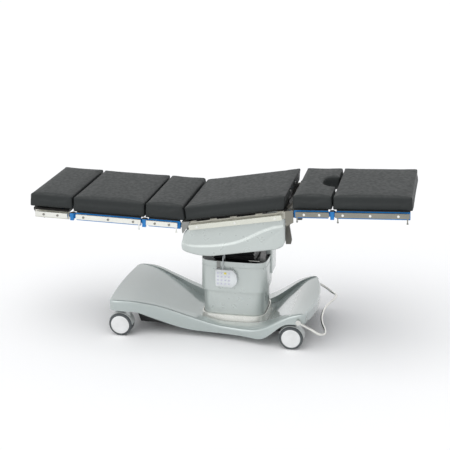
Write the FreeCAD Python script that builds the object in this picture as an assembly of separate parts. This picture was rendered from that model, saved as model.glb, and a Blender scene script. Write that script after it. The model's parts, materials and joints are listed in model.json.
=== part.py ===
import FreeCAD, Part
import math
import os

os.makedirs("parts", exist_ok=True)
V = FreeCAD.Vector
AXIS_Y = V(0, 1, 0)
AXIS_Z = V(0, 0, 1)

# Sizes in millimetres. The leg end is +X, the front of the photograph is -Y, and the floor is Z = 0.
# Sections are drawn on a flat table whose origin is the back hinge axis, then set to the posture.

# Posture
SEAT_RISE = 10.0
BACK_RISE = -1.2
LEG_RISE = 2.5
TILT_X = 60.0
TILT_Z = 545.0
TILT_FROM_BACK_HINGE = 200.7
TILT_BELOW_HINGES = 102.7

# Table top
TOP_WIDTH = 540.0
CUSHION_THICK = 70.0
BACK_CUSHION_THICK = 78.0
HEAD_CUSHION_THICK = 68.0
HEAD_RISER = 12.0
CUSHION_EDGE = 7.5
CUSHION_CORNER = 9.0
TOP_OVER_HINGE = 97.0
HINGE_GAP = 12.5
PAD_GAP = 3.0
SEAT_LENGTH = 510.0
LOWER_BACK_LENGTH = 189.5
UPPER_BACK_LENGTH = 373.0
HEAD_LENGTH = 219.5
PELVIC_LENGTH = 191.5
LEG_LENGTH = 380.5
PERINEAL_WIDTH = 180.0
PERINEAL_DEPTH = 72.0
NOTCH_INSET = 10.0
FOLD_END_TOP = 2.5
FOLD_END_FOOT = 16.0
SEAT_UNDERCUT = 12.5

# Section frames and accessory rails
BOARD_THICK = 8.0
BOARD_SIDE_GAP = 22.0
BEAM_THICK = 10.0
BEAM_HEIGHT = 43.0
RAIL_CLAMP_SPACE = 17.0
RAIL_THICK = 10.0
RAIL_HEIGHT = 25.0
RAIL_BELOW_TOP = 88.0
SEAT_RAIL_BELOW_TOP = 101.0
SPACER_RADIUS = 8.0
SCREW_RADIUS = 6.0
SCREW_HEAD = 3.0
CROSS_TUBE = 22.0

# Hinges
LUG_RADIUS = 17.0
LUG_THICK = 9.0
LUG_PLAY = 0.8
PIN_RADIUS = 7.0
PIN_PLAY = 0.05
SMALL_HINGE_BELOW_TOP = 92.0

# Column
COLUMN_X = 60.5
LOWER_HALF_LONG = 160.5
LOWER_HALF_DEEP = 125.0
UPPER_HALF_LONG = 171.5
UPPER_HALF_DEEP = 136.0
SHROUD_WALL = 3.0
SHROUD_GAP = 3.0
SKIRT_TOP = 100.0
SKIRT_WALL = 3.0
SKIRT_TOP_LONG = 168.0
SKIRT_TOP_DEEP = 143.0
SKIRT_FOOT_LONG = 172.0
SKIRT_FOOT_DEEP = 149.0
LOWER_BOTTOM = 98.0
LOWER_TOP = 340.0
UPPER_BOTTOM = 228.0
UPPER_RIM = 390.0
GROOVE_Z = 360.0
GROOVE_TALL = 10.0
GROOVE_DEEP = 1.5
DECK_Z = 378.0
DECK_THICK = 5.0

# Lifting mast: each stage slides over the one below
LOWER_DOWN = 45.0
UPPER_DOWN = 36.0
MAST_HALF_LONG = 64.0
MAST_HALF_DEEP = 50.0
MAST_WALL = 6.0
MAST_GAP = 6.0
MAST_STOP = 5.0
MAST_TOP = 480.0
MAST_CAP = 10.0
SPINDLE_RADIUS = 30.0
SPINDLE_WALL = 4.0
SPINDLE_GAP = 1.0

# Tilt head
CROSS_HALF_LONG = 55.0
CROSS_HALF_WIDE = 58.0
CROSS_HALF_TALL = 28.0
LATERAL_PIN = 15.0
TILT_PIN = 16.0
HEAD_LUG_THICK = 22.0
HEAD_LUG_WIDE = 38.0
HEAD_LUG_RADIUS = 26.0
HEAD_FLANGE = 12.0
SADDLE_IN = 146.0
SADDLE_THICK = 12.0
SADDLE_EYE = 34.0

# Base
BASE_LEFT = -573.0
BASE_RIGHT = 495.0
BASE_WALL = 4.0
COVER_PLAY = 3.0
PLATE_BOTTOM = 38.0
PLATE_TOP = 50.0
BASE_SEAT_Z = 62.0
CASTOR_LEFT_X = -466.0
CASTOR_RIGHT_X = 421.0
CASTOR_Y = 253.0
WHEEL_RADIUS = 60.0
WHEEL_WIDTH = 27.0
WHEEL_PLAY = 1.0
CASTOR_WEB = 16.0
CASTOR_TRAIL = 32.0
AXLE_RADIUS = 6.0
STEM_RADIUS = 11.0
CASTOR_TOP = 133.0
STEM_TOP = 148.0
CROSS_MEMBER_BOTTOM = 137.0
CROSS_MEMBER_TOP = 165.0
CROSS_MEMBER_WIDE = 56.0
SPINE_IN = 95.0
SPINE_OUT = 135.0
PAN_IN = 146.0
PAN_OUT = 152.0
TRAY_BOTTOM = 33.0
TRAY_TOP = 36.0
CROSS_MEMBER_REACH = 267.6

# Brake bar
BRAKE_X = 427.0
BRAKE_Z = 157.0
BRAKE_ARM_Y = 302.0
BRAKE_BOSS_IN = 292.0
BRAKE_BOSS_OUT = 309.0
BRAKE_BOSS_RADIUS = 13.0
BRAKE_BAR_RADIUS = 6.5
BRAKE_CORNER_X = 558.0
BRAKE_BAR_Z = 93.0

# Hand control
CONTROL_BACK = 140.0
CONTROL_THICK = 17.0
LEAD_RADIUS = 3.0

# Side covers
COVER_DEEP = 32.0
COVER_PROUD = 2.0
COVER_SWELL = 9.0
COVER_WALL = 3.0

TOP_Z = TOP_OVER_HINGE
BOARD_TOP = TOP_Z - CUSHION_THICK
SEAT_LEFT = HINGE_GAP
SEAT_RIGHT = SEAT_LEFT + SEAT_LENGTH
LEG_HINGE = SEAT_RIGHT + HINGE_GAP
LOWER_BACK_RIGHT = -HINGE_GAP
LOWER_BACK_LEFT = LOWER_BACK_RIGHT - LOWER_BACK_LENGTH
UPPER_BACK_RIGHT = LOWER_BACK_LEFT - PAD_GAP
UPPER_BACK_LEFT = UPPER_BACK_RIGHT - UPPER_BACK_LENGTH
HEAD_RIGHT = UPPER_BACK_LEFT - PAD_GAP
HEAD_LEFT = HEAD_RIGHT - HEAD_LENGTH
PELVIC_LEFT = LEG_HINGE + HINGE_GAP
PELVIC_RIGHT = PELVIC_LEFT + PELVIC_LENGTH
LEG_LEFT = PELVIC_RIGHT + PAD_GAP
LEG_RIGHT = LEG_LEFT + LEG_LENGTH
UPPER_BACK_HINGE = (LOWER_BACK_LEFT + UPPER_BACK_RIGHT) / 2
HEAD_HINGE = (UPPER_BACK_LEFT + HEAD_RIGHT) / 2
LEG_END_HINGE = (PELVIC_RIGHT + LEG_LEFT) / 2
SMALL_HINGE_Z = TOP_Z - SMALL_HINGE_BELOW_TOP
BEAM_Z = SMALL_HINGE_Z
RAIL_Z = TOP_Z - RAIL_BELOW_TOP
SEAT_RAIL_Z = TOP_Z - SEAT_RAIL_BELOW_TOP
BEAM_OUT = TOP_WIDTH / 2
BEAM_IN = BEAM_OUT - BEAM_THICK
RAIL_OUT = BEAM_OUT + RAIL_CLAMP_SPACE + RAIL_THICK
BOARD_HALF_WIDE = BEAM_OUT - BOARD_SIDE_GAP
BOARD_INSET = 26.0
COVER_OUT = BEAM_OUT + COVER_PROUD
COVER_IN = COVER_OUT - COVER_DEEP
BOARD_BOTTOM = BOARD_TOP - BOARD_THICK
EYE_CLEAR = 20.0
ARM_REACH = 46.0
RAIL_CLEAR = 14.0
BLOCK_THICK = 15.0
BLOCK_TALL = 46.0
HEAD_BLOCK_TALL = 40.0
BRACKET_THICK = 9.0
SEAT_BEAM_HALF = 16.5
SEAT_TUBES = (46.0, 150.0, 252.0, LEG_HINGE - 155.0, LEG_HINGE - 46.0)
SEAT_TUBE_TALL = 30.0
DRIVE_RADIUS = 21.0
DRIVE_FACE = BEAM_IN - 22.0
EYELET_SPREAD = 160.0
EYELET_BELOW_TOP = 29.0
SQUIRCLE_POINTS = 32
SQUIRCLE_POWER = 0.36
SEAT_PLAY = 0.8
SEAT_SINK = 1.0
PANEL_PLAY = 0.3
SLIDE_PLAY = 0.3
SLIDE_TALL = 40.0
SLIDE_WIDE = 40.0
SLEEVE_BAND = 22.0
HOOK_PIN_LONG = 27.0
HOOK_STALK = 3.0
HOOK_KNOB = 4.8
BASE_ROLL = 13.0
MAST_CORNER = 10.0
GAITER_FOLDS = 5
GAITER_SPREAD = 22.0
GAITER_TAPER = 9.0
HANGER_SLACK = 1.0
BRAKE_SHAFT = 6.0
BASE_BOW = 12.0
BASE_BOW_RIGHT = 34.0
BASE_CORNER = 48.0

# Outlines, each as side view points (x, z) on the flat table
HEAD_LIP = [
    (HEAD_LEFT + 6, BOARD_TOP), (HEAD_LEFT + 6, BOARD_BOTTOM - 4), (HEAD_LEFT + 22, -12),
    (HEAD_LEFT + 34, -12), (HEAD_LEFT + 34, -8), (HEAD_LEFT + 24, -8),
    (HEAD_LEFT + 10, BOARD_BOTTOM - 2), (HEAD_LEFT + BOARD_INSET + 4, BOARD_BOTTOM),
    (HEAD_LEFT + BOARD_INSET + 4, BOARD_TOP),
]
BACK_BRACKET = [(-15, -24), (-8, 24), (33, 22), (26, 6), (4, -18), (-10, -33), (-14, -33)]
LEG_BRACKET = [(-21, 22), (19, 21), (11, -40), (-28, -55)]
LEG_DRIVE_PLATE = [
    (-21.0, -8.0), (0.0, -22.0), (-13.0, -60.0), (-24.8, -75.0), (-24.8, -150.2), (-32.2, -169.2),
    (-57.2, -166.8), (-44.2, -75.7), (-36.0, -40.0),
]
SADDLE = [
    (60.0, -2.0), (60.0, -12.0), (172.0, -122.0), (229.0, -122.0), (LEG_HINGE - 135, -12.0),
    (LEG_HINGE - 135, -2.0),
]
COVER_TOP = -16.9
COVER_DROP = 168.5
COVER_LEFT = [(11.0, -16.9), (-9.6, -36.0), (-23.4, -66.3), (-33.0, -99.0), (-28.5, -122.0)]
COVER_BOTTOM_LEFT = [(6.0, -142.5), (58.0, -160.0), (108.0, -168.5)]
COVER_CORNER = [(LEG_HINGE - 95, -168.5), (LEG_HINGE - 63, -158.0), (LEG_HINGE - 47, -136.0)]
COVER_TOP_RIGHT = LEG_HINGE - 30
SWOOSH = [
    (-40.0, -66.0), (-22.0, -80.0), (7.0, -96.0), (72.0, -107.0), (152.0, -111.5), (219.0, -109.0),
    (LEG_HINGE - 266, -101.0), (LEG_HINGE - 215, -86.0), (LEG_HINGE - 163, -67.5),
    (LEG_HINGE - 108, -53.5), (LEG_HINGE - 79, -49.0), (LEG_HINGE - 15, -47.0),
]

# The base in the side view (x, z) and in plan (x, half width)
BASE_BAND_TOP = [
    (-600.0, 192.0), (-554.0, 192.0), (-502.0, 193.0), (-421.0, 187.0), (-365.0, 174.0),
    (-281.0, 151.0), (-221.0, 131.0), (-142.0, 108.0), (-63.0, 88.0), (4.0, 76.0), (92.0, 73.0),
    (160.0, 75.0), (205.0, 84.0), (271.0, 115.0), (341.0, 159.0), (390.0, 182.0), (434.0, 193.0),
    (480.0, 194.0), (520.0, 194.0),
]
BASE_BAND_BOTTOM = [
    (-600.0, 137.0), (-558.0, 137.0), (-484.0, 136.5), (-440.0, 134.0), (-405.0, 127.0),
    (-375.0, 114.0), (-327.0, 92.0), (-262.0, 67.0), (-182.0, 44.0),
    (-103.0, 35.0), (4.0, 34.0), (92.0, 34.0),
    (172.0, 34.0), (230.0, 37.0), (282.0, 70.0), (331.0, 115.0), (357.0, 131.5), (392.0, 138.0),
    (456.0, 138.5), (520.0, 138.5),
]
BASE_CHANNEL = [
    (-600.0, 192.5), (-554.0, 191.0), (-502.0, 190.0), (-421.0, 180.0), (-365.0, 163.0),
    (-281.0, 130.0), (-221.0, 102.0), (-165.0, 74.5), (-122.0, 62.6), (-80.0, 62.0), (0.0, 62.0),
    (92.0, 62.0), (160.0, 62.0), (205.0, 62.0), (236.0, 62.6), (252.0, 69.5), (271.0, 84.0),
    (341.0, 138.0), (390.0, 172.0),
    (434.0, 188.0), (480.0, 192.0), (520.0, 193.5),
]
BASE_SIDE = [
    (-520.0, 289.0), (-460.0, 287.0), (-400.0, 270.0), (-300.0, 240.0), (-200.0, 226.0),
    (-100.0, 224.0), (0.0, 228.0), (100.0, 240.0), (200.0, 262.0), (270.0, 280.0), (350.0, 288.5),
    (410.0, 289.5),
]
BASE_CREASE = [
    (-580.0, 283.0), (-470.0, 262.0), (-350.0, 215.0), (-230.0, 180.0), (-110.0, 162.0),
    (60.0, 158.0), (215.0, 166.0), (300.0, 205.0), (400.0, 258.0), (505.0, 283.0),
]
LEFT_SPINE = [
    (-494.0, 137.0), (-494.0, 165.0), (-425.0, 165.0), (-365.0, 150.0), (-281.0, 117.0),
    (-221.0, 88.0), (-170.0, 64.0), (-130.0, 50.0), (-130.0, 38.0), (-240.0, 38.0),
    (-262.0, 52.0), (-400.0, 52.0), (-430.0, 100.0),
]
RIGHT_SPINE = [
    (449.0, 137.0), (449.0, 165.0), (393.0, 165.0), (341.0, 126.0), (271.0, 72.0), (228.0, 50.0),
    (200.0, 50.0), (200.0, 38.0), (300.0, 38.0), (350.0, 92.0), (385.0, 128.0),
]
# The black pans under both ends of the base, their sides and their raised end walls
LEFT_PAN = [
    (-438.0, 100.0), (-438.0, 72.0), (-424.0, 33.0), (-262.0, 33.0), (-240.0, 38.0), (-240.0, 60.0),
    (-300.0, 100.0),
]
LEFT_PAN_END = [
    (-438.0, 112.0), (-438.0, 72.0), (-424.0, 33.0), (-421.0, 33.0), (-435.0, 73.0), (-435.0, 112.0),
]
RIGHT_PAN = [
    (228.0, 38.0), (322.0, 38.0), (350.0, 84.0), (350.0, 104.0), (300.0, 86.0), (262.0, 58.0),
    (228.0, 50.0),
]
RIGHT_PAN_END = [
    (322.0, 38.0), (350.0, 84.0), (350.0, 104.0), (347.0, 104.0), (347.0, 85.0), (318.0, 38.0),
]

# The route of the hand control's lead: out of its top edge, over the rim and down to the gland
LEAD_ROUTE = [
    (14.0, -149.0, 352.5), (14.0, -149.0, 410.2), (14.0, -135.2, 424.0), (14.0, -115.8, 424.0),
    (14.0, -102.0, 410.2), (14.0, -102.0, 391.5),
]


def box(x0, x1, y0, y1, z0, z1):
    return Part.makeBox(x1 - x0, y1 - y0, z1 - z0, V(x0, y0, z0))


def rod(radius, start, end):
    way = V(*end) - V(*start)
    return Part.makeCylinder(radius, way.Length, V(*start), way)


def across(radius, x, z, y0, y1):
    """A round bar along Y."""
    return rod(radius, (x, y0, z), (x, y1, z))


def fuse(shapes):
    first, *rest = shapes
    if not rest:
        return first
    return first.fuse(rest).removeSplitter()


def polygon(points):
    return Part.Face(Part.makePolygon([V(*p) for p in points + points[:1]]))


def plate_xz(points, y0, y1):
    """A flat plate with its outline in the side view."""
    return polygon([(x, y0, z) for x, z in points]).extrude(V(0, y1 - y0, 0))


def mirrored(shape):
    """The same piece on the other side of the table."""
    return shape.mirror(V(0, 0, 0), AXIS_Y)


def both_sides(shape):
    return Part.makeCompound([shape, mirrored(shape)])


def save(name, shape):
    shape.exportStep(f"parts/{name}.step")


def to_seat(shape):
    """From the flat table to the tilted seat, by way of the tilt axis."""
    placed = shape.copy()
    placed.translate(V(-TILT_FROM_BACK_HINGE, 0, TILT_BELOW_HINGES))
    placed.rotate(V(0, 0, 0), AXIS_Y, -SEAT_RISE)
    placed.translate(V(TILT_X, 0, TILT_Z))
    return placed


def on_seat(x, z):
    """Where a point of the flat table lies once the seat is tilted."""
    return to_seat(Part.Vertex(x, 0, z)).Point


def to_back(shape):
    placed = shape.copy()
    placed.rotate(V(0, 0, 0), AXIS_Y, -BACK_RISE)
    placed.translate(on_seat(0, 0))
    return placed


def to_legs(shape):
    placed = shape.copy()
    placed.translate(V(-LEG_HINGE, 0, 0))
    placed.rotate(V(0, 0, 0), AXIS_Y, -LEG_RISE)
    placed.translate(on_seat(LEG_HINGE, 0))
    return placed


def edges_where(shape, test):
    return [e for e in shape.Edges if test(e)]


def is_upright(edge):
    """True for an edge that rises, straight or slanted, in one plane across the table."""
    return edge.BoundBox.ZLength > 1 and edge.BoundBox.YLength < 0.1


def rounded_block(x0, x1, y0, y1, z0, z1, corner):
    block = box(x0, x1, y0, y1, z0, z1)
    return block.makeFillet(corner, edges_where(block, is_upright))


def cushion(x0, x1, thick, foot=BOARD_TOP, right_foot=None):
    """A foam cushion: rounded corners, a soft top edge, and a right end that may slant."""
    half = TOP_WIDTH / 2
    top = foot + thick
    low_right = x1 if right_foot is None else right_foot
    block = plate_xz([(x0, foot), (low_right, foot), (x1, top), (x0, top)], -half, half)
    pad = block.makeFillet(CUSHION_CORNER, edges_where(block, is_upright))
    rim = edges_where(pad, lambda e: e.BoundBox.ZMin > top - 0.1)
    return pad.makeFillet(CUSHION_EDGE, rim)


def beam(x0, x1, z_middle, half, y_out):
    return box(x0, x1, -y_out, -y_out + BEAM_THICK, z_middle - half, z_middle + half)


def cross_tube(x, y_half, top):
    """A square tube between the two side beams."""
    return box(x - CROSS_TUBE / 2, x + CROSS_TUBE / 2, -y_half, y_half, top - CROSS_TUBE, top)


def board(x0, x1):
    inset = BOARD_INSET
    half = BOARD_HALF_WIDE
    return rounded_block(x0 + inset, x1 - inset, -half, half, BOARD_BOTTOM, BOARD_TOP, CUSHION_CORNER)


def rail_pair(x0, x1, z_middle, screws, pins=(), face=BEAM_OUT - LUG_PLAY):
    """Two accessory rails on spacers, each spacer with its screw, and the hook pins below."""
    inner = RAIL_OUT - RAIL_THICK
    half = RAIL_HEIGHT / 2
    bar = box(x0, x1, -RAIL_OUT, -inner, z_middle - half, z_middle + half)
    ends = edges_where(bar, lambda e: e.BoundBox.YLength > 1)
    pieces = [bar.makeChamfer(2.0, ends)]
    for x in screws:
        pieces.append(across(SPACER_RADIUS, x, z_middle, -inner, -face))
        pieces.append(across(SCREW_RADIUS, x, z_middle, -RAIL_OUT - SCREW_HEAD, -RAIL_OUT))
    for x in pins:
        pieces.append(hook_pin(x, z_middle - half))
    return both_sides(fuse(pieces))


def hook_pin(x, top):
    """The small latch pin that hangs below the end of a rail."""
    y = -RAIL_OUT + RAIL_THICK / 2
    foot = top - HOOK_PIN_LONG
    stalk = rod(HOOK_STALK, (x, y, top + 1), (x, y, foot))
    knob = rod(HOOK_KNOB, (x, y, foot + HOOK_KNOB), (x, y, foot))
    return fuse([stalk, knob])


def carrier_eye(x, z, reach, block_tall):
    """The fixed half of a section hinge: eye, arm, pin and the outer joint block."""
    far = -BEAM_OUT
    near = -BEAM_IN
    arm = box(min(x, x + reach), max(x, x + reach), far, near, z - 12, z + 12)
    pin = across(PIN_RADIUS, x, z, near, near + LUG_THICK + 2 * LUG_PLAY + 3)
    half = block_tall / 2
    block = box(x - 9, x + 9, far - BLOCK_THICK, far, z - half, z + half)
    return fuse([across(LUG_RADIUS, x, z, far, near), arm, pin, block])


def moving_eye(x, z, reach):
    """The swinging half: an eye inside the carrier's, with an arm out to the side beam."""
    far = -BEAM_IN + LUG_PLAY
    near = far + LUG_THICK
    way = 1 if reach > 0 else -1
    start = x + way * EYE_CLEAR
    arm = box(min(start, x + reach), max(start, x + reach), -BEAM_IN - LUG_PLAY, near, z - 10, z + 10)
    thin = box(min(x, start), max(x, start), far, near, z - 10, z + 10)
    eye = fuse([across(LUG_RADIUS, x, z, far, near), thin, arm])
    return eye.cut(across(PIN_RADIUS + PIN_PLAY, x, z, far - 1, near + 1))


def section_frame(x0, x1, beam_from, beam_to, tubes, eyes):
    """Board, side beams, cross tubes and hinge eyes of one section."""
    out = BEAM_OUT - LUG_PLAY
    side = fuse([beam(beam_from, beam_to, BEAM_Z, BEAM_HEIGHT / 2, out)] + eyes)
    pieces = [side, mirrored(side), board(x0, x1)]
    for x in tubes:
        pieces.append(cross_tube(x, out - BEAM_THICK, BOARD_BOTTOM))
    return fuse(pieces)


def lower_back():
    beam_left = UPPER_BACK_HINGE + EYE_CLEAR
    beam_right = -EYE_CLEAR
    eyes = [
        carrier_eye(UPPER_BACK_HINGE, SMALL_HINGE_Z, EYE_CLEAR, BLOCK_TALL),
        moving_eye(0, 0, -ARM_REACH),
    ]
    tubes = [beam_left + 30, beam_right - 34]
    frame = section_frame(LOWER_BACK_LEFT, LOWER_BACK_RIGHT, beam_left, beam_right, tubes, eyes)
    top = BEAM_Z + BEAM_HEIGHT / 2
    end = beam_right + 1
    start = beam_right - 16
    fold = [(start, top), (end, top - 7), (end, top + 1), (start, top + 1)]
    frame = frame.cut(plate_xz(fold, -RAIL_OUT, RAIL_OUT))
    save("lower_back_frame", to_back(frame))
    screws = [UPPER_BACK_HINGE + 59, -71.5]
    rails = rail_pair(UPPER_BACK_HINGE + RAIL_CLEAR, -30, RAIL_Z, screws, [-31 - HOOK_KNOB])
    save("lower_back_rails", to_back(rails))
    right_top = LOWER_BACK_RIGHT + FOLD_END_TOP
    right_foot = LOWER_BACK_RIGHT + FOLD_END_FOOT
    pad = cushion(LOWER_BACK_LEFT, right_top, BACK_CUSHION_THICK, right_foot=right_foot)
    save("lower_back_cushion", to_back(pad))


def upper_back():
    beam_left = HEAD_HINGE + EYE_CLEAR
    beam_right = UPPER_BACK_HINGE - EYE_CLEAR
    eyes = [
        carrier_eye(HEAD_HINGE, SMALL_HINGE_Z, EYE_CLEAR, HEAD_BLOCK_TALL),
        moving_eye(UPPER_BACK_HINGE, SMALL_HINGE_Z, -ARM_REACH),
    ]
    tubes = [beam_left + 40, (beam_left + beam_right) / 2, beam_right - 34]
    frame = section_frame(UPPER_BACK_LEFT, UPPER_BACK_RIGHT, beam_left, beam_right, tubes, eyes)
    save("upper_back_frame", to_back(frame))
    screws = [HEAD_HINGE + 65, (HEAD_HINGE + UPPER_BACK_HINGE) / 2 + 6, UPPER_BACK_HINGE - 52]
    pins = [UPPER_BACK_HINGE - RAIL_CLEAR - 10]
    rails = rail_pair(HEAD_HINGE + 25, UPPER_BACK_HINGE - RAIL_CLEAR, RAIL_Z, screws, pins)
    save("upper_back_rails", to_back(rails))
    save("upper_back_cushion", to_back(cushion(UPPER_BACK_LEFT, UPPER_BACK_RIGHT, BACK_CUSHION_THICK)))


def head_section():
    beam_right = HEAD_HINGE - EYE_CLEAR
    beam_left = HEAD_LEFT + 22
    eyes = [moving_eye(HEAD_HINGE, SMALL_HINGE_Z, -ARM_REACH)]
    tubes = [beam_left + 30, beam_right - 34]
    frame = section_frame(HEAD_LEFT, HEAD_RIGHT, beam_left, beam_right, tubes, eyes)
    pad_bottom = BOARD_TOP + HEAD_RISER
    inset = BOARD_INSET + 4
    half = BOARD_HALF_WIDE - 20
    riser = box(HEAD_LEFT + inset, HEAD_RIGHT - inset, -half, half, BOARD_TOP, pad_bottom)
    lip = plate_xz(HEAD_LIP, -BOARD_HALF_WIDE, BOARD_HALF_WIDE)
    save("head_frame", to_back(fuse([frame, riser, lip])))
    screws = [HEAD_LEFT + 77, HEAD_HINGE - 71]
    rails = rail_pair(HEAD_LEFT + 35, HEAD_HINGE - 20, RAIL_Z, screws)
    save("head_rails", to_back(rails))
    save("head_cushion", to_back(cushion(HEAD_LEFT, HEAD_RIGHT, HEAD_CUSHION_THICK, pad_bottom)))
    head_knob()


def head_knob():
    """The clamp knob under the head section."""
    tube_bottom = BOARD_BOTTOM - CROSS_TUBE
    x = HEAD_LEFT + 52
    y = -210.0
    spindle = rod(5, (x, y, tube_bottom), (x, y, tube_bottom - 12))
    grip = rod(15, (x, y, tube_bottom - 12), (x, y, tube_bottom - 30))
    for k in range(6):
        turn = math.radians(60 * k)
        cx = x + 18 * math.cos(turn)
        cy = y + 18 * math.sin(turn)
        grip = grip.cut(rod(6, (cx, cy, tube_bottom - 31), (cx, cy, tube_bottom - 11)))
    save("head_knob", to_back(fuse([spindle, grip])))


def perineal_notch(x_right, z0, z1):
    """The rounded cut-out in the leg end of the pelvic section."""
    radius = PERINEAL_DEPTH
    half = PERINEAL_WIDTH / 2
    middle = x_right - PERINEAL_DEPTH + radius
    flat = half - radius
    cut = [box(middle - radius, middle + 9, -flat, flat, z0, z1)]
    for side in (-flat, flat):
        cut.append(rod(radius, (middle, side, z0), (middle, side, z1)))
    cut.append(box(middle, middle + 9, -half, half, z0, z1))
    return fuse(cut)


def pelvic_section():
    beam_left = LEG_HINGE + EYE_CLEAR
    beam_right = LEG_END_HINGE - EYE_CLEAR
    eyes = [
        moving_eye(LEG_HINGE, 0, ARM_REACH),
        carrier_eye(LEG_END_HINGE, SMALL_HINGE_Z, -EYE_CLEAR, BLOCK_TALL),
    ]
    tubes = [beam_left + 34, PELVIC_RIGHT - PERINEAL_DEPTH - 18]
    frame = section_frame(PELVIC_LEFT, PELVIC_RIGHT, beam_left, beam_right, tubes, eyes)
    board_notch = perineal_notch(PELVIC_RIGHT - NOTCH_INSET, BOARD_BOTTOM - 1, BOARD_TOP + 1)
    save("pelvic_frame", to_legs(frame.cut(board_notch)))
    screws = [LEG_HINGE + 71.7, LEG_END_HINGE - 60]
    rails = rail_pair(LEG_HINGE + 30, LEG_END_HINGE - RAIL_CLEAR, RAIL_Z, screws, [LEG_HINGE + 37])
    save("pelvic_rails", to_legs(rails))
    pad = cushion(PELVIC_LEFT, PELVIC_RIGHT, CUSHION_THICK)
    notch = perineal_notch(PELVIC_RIGHT, BOARD_TOP - 1, TOP_Z + 1)
    save("pelvic_cushion", to_legs(pad.cut(notch)))


def leg_section():
    beam_left = LEG_END_HINGE + EYE_CLEAR
    beam_right = LEG_RIGHT - 12
    eyes = [moving_eye(LEG_END_HINGE, SMALL_HINGE_Z, ARM_REACH)]
    tubes = [beam_left + 34, (beam_left + beam_right) / 2, beam_right - 30]
    frame = section_frame(LEG_LEFT, LEG_RIGHT, beam_left, beam_right, tubes, eyes)
    save("leg_frame", to_legs(frame))
    screws = [LEG_LEFT + 50.8, (LEG_LEFT + LEG_RIGHT) / 2 - 9, LEG_RIGHT - 66.4]
    pins = [LEG_END_HINGE + 28, LEG_RIGHT - 24]
    rails = rail_pair(LEG_END_HINGE + RAIL_CLEAR, LEG_RIGHT - 14, RAIL_Z, screws, pins)
    save("leg_rails", to_legs(rails))
    save("leg_cushion", to_legs(cushion(LEG_LEFT, LEG_RIGHT, CUSHION_THICK)))


def seat_frame():
    """Side beams, cross beams, the two saddle plates down to the tilt axis, and the board."""
    left = EYE_CLEAR
    right = LEG_HINGE - EYE_CLEAR
    side = beam(left, right, 0, SEAT_BEAM_HALF, BEAM_OUT)
    pieces = [side, mirrored(side), board(SEAT_LEFT, SEAT_RIGHT)]
    top = BOARD_BOTTOM
    for x in SEAT_TUBES:
        pieces.append(box(x - 17, x + 17, -BEAM_IN, BEAM_IN, top - SEAT_TUBE_TALL, top))
    saddle = plate_xz(SADDLE, -SADDLE_IN - SADDLE_THICK, -SADDLE_IN)
    eye = across(SADDLE_EYE, TILT_FROM_BACK_HINGE, -TILT_BELOW_HINGES, -SADDLE_IN - SADDLE_THICK, -SADDLE_IN)
    saddle = fuse([saddle, eye])
    bore = across(TILT_PIN + PIN_PLAY, TILT_FROM_BACK_HINGE, -TILT_BELOW_HINGES, -RAIL_OUT, 0)
    saddle = saddle.cut(bore)
    pieces += [saddle, mirrored(saddle)]
    save("seat_frame", to_seat(fuse(pieces)))


def seat_rails():
    screws = [69.9, LEG_HINGE / 2 - 4.7, LEG_HINGE - 72.2]
    rails = rail_pair(28, LEG_HINGE - 38, SEAT_RAIL_Z, screws, face=BEAM_OUT)
    save("seat_rails", to_seat(rails))


def seat_cushion():
    pad = cushion(SEAT_LEFT, SEAT_RIGHT, CUSHION_THICK, right_foot=SEAT_RIGHT - SEAT_UNDERCUT)
    save("seat_cushion", to_seat(pad))
    eyelets = []
    slant = SEAT_UNDERCUT / CUSHION_THICK
    for y in (-EYELET_SPREAD / 2, EYELET_SPREAD / 2):
        plate = rod(9, (0, 0, 0), (1.5, 0, 0))
        ring = rod(6, (1.5, 0, 0), (5, 0, 0))
        hole = rod(3.5, (-1, 0, 0), (6, 0, 0))
        eyelet = fuse([plate, ring]).cut(hole)
        eyelet.rotate(V(0, 0, 0), AXIS_Y, math.degrees(math.atan(slant)))
        eyelet.translate(V(SEAT_RIGHT - EYELET_BELOW_TOP * slant, y, TOP_Z - EYELET_BELOW_TOP))
        eyelets.append(eyelet)
    save("seat_eyelets", to_seat(Part.makeCompound(eyelets)))


def hinge_bracket(x, outline, reach):
    """A side bracket of the seat: eye and pin in the beam line, and the plate over it outside."""
    far = -BEAM_OUT
    near = -BEAM_IN
    arm = box(min(x, x + reach), max(x, x + reach), far, near, -12, 12)
    pin = across(PIN_RADIUS, x, 0, near, -DRIVE_FACE)
    plate = plate_xz([(x + dx, dz) for dx, dz in outline], far - BRACKET_THICK, far)
    return fuse([across(LUG_RADIUS, x, 0, far, near), arm, pin, plate])


def hinge_brackets():
    back = hinge_bracket(0, BACK_BRACKET, EYE_CLEAR)
    save("back_hinge_brackets", to_seat(both_sides(back)))
    leg = hinge_bracket(LEG_HINGE, LEG_BRACKET, -EYE_CLEAR)
    save("leg_hinge_brackets", to_seat(both_sides(leg)))


def hinge_drives():
    """Gear motors on the two hinge axes, bolted to the first and last cross beams."""
    drives = []
    for x, beam_face in ((0, SEAT_TUBES[0] - 17), (LEG_HINGE, SEAT_TUBES[-1] + 17)):
        motor = across(DRIVE_RADIUS, x, 0, -BEAM_IN + 70, -60)
        gearbox = across(DRIVE_RADIUS + 3, x, 0, -DRIVE_FACE, -BEAM_IN + 70)
        low = min(x, beam_face)
        foot = box(low, max(x, beam_face), -170, -120, -10, 10)
        drives.append(fuse([motor, gearbox, foot]))
    plate = plate_xz([(LEG_HINGE + dx, dz) for dx, dz in LEG_DRIVE_PLATE], -206, -192)
    drives[-1] = fuse([drives[-1], plate])
    save("hinge_drives", to_seat(both_sides(Part.makeCompound(drives))))


def spline(points):
    curve = Part.BSplineCurve()
    curve.interpolate([V(*p) for p in points])
    return curve.toShape()


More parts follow.
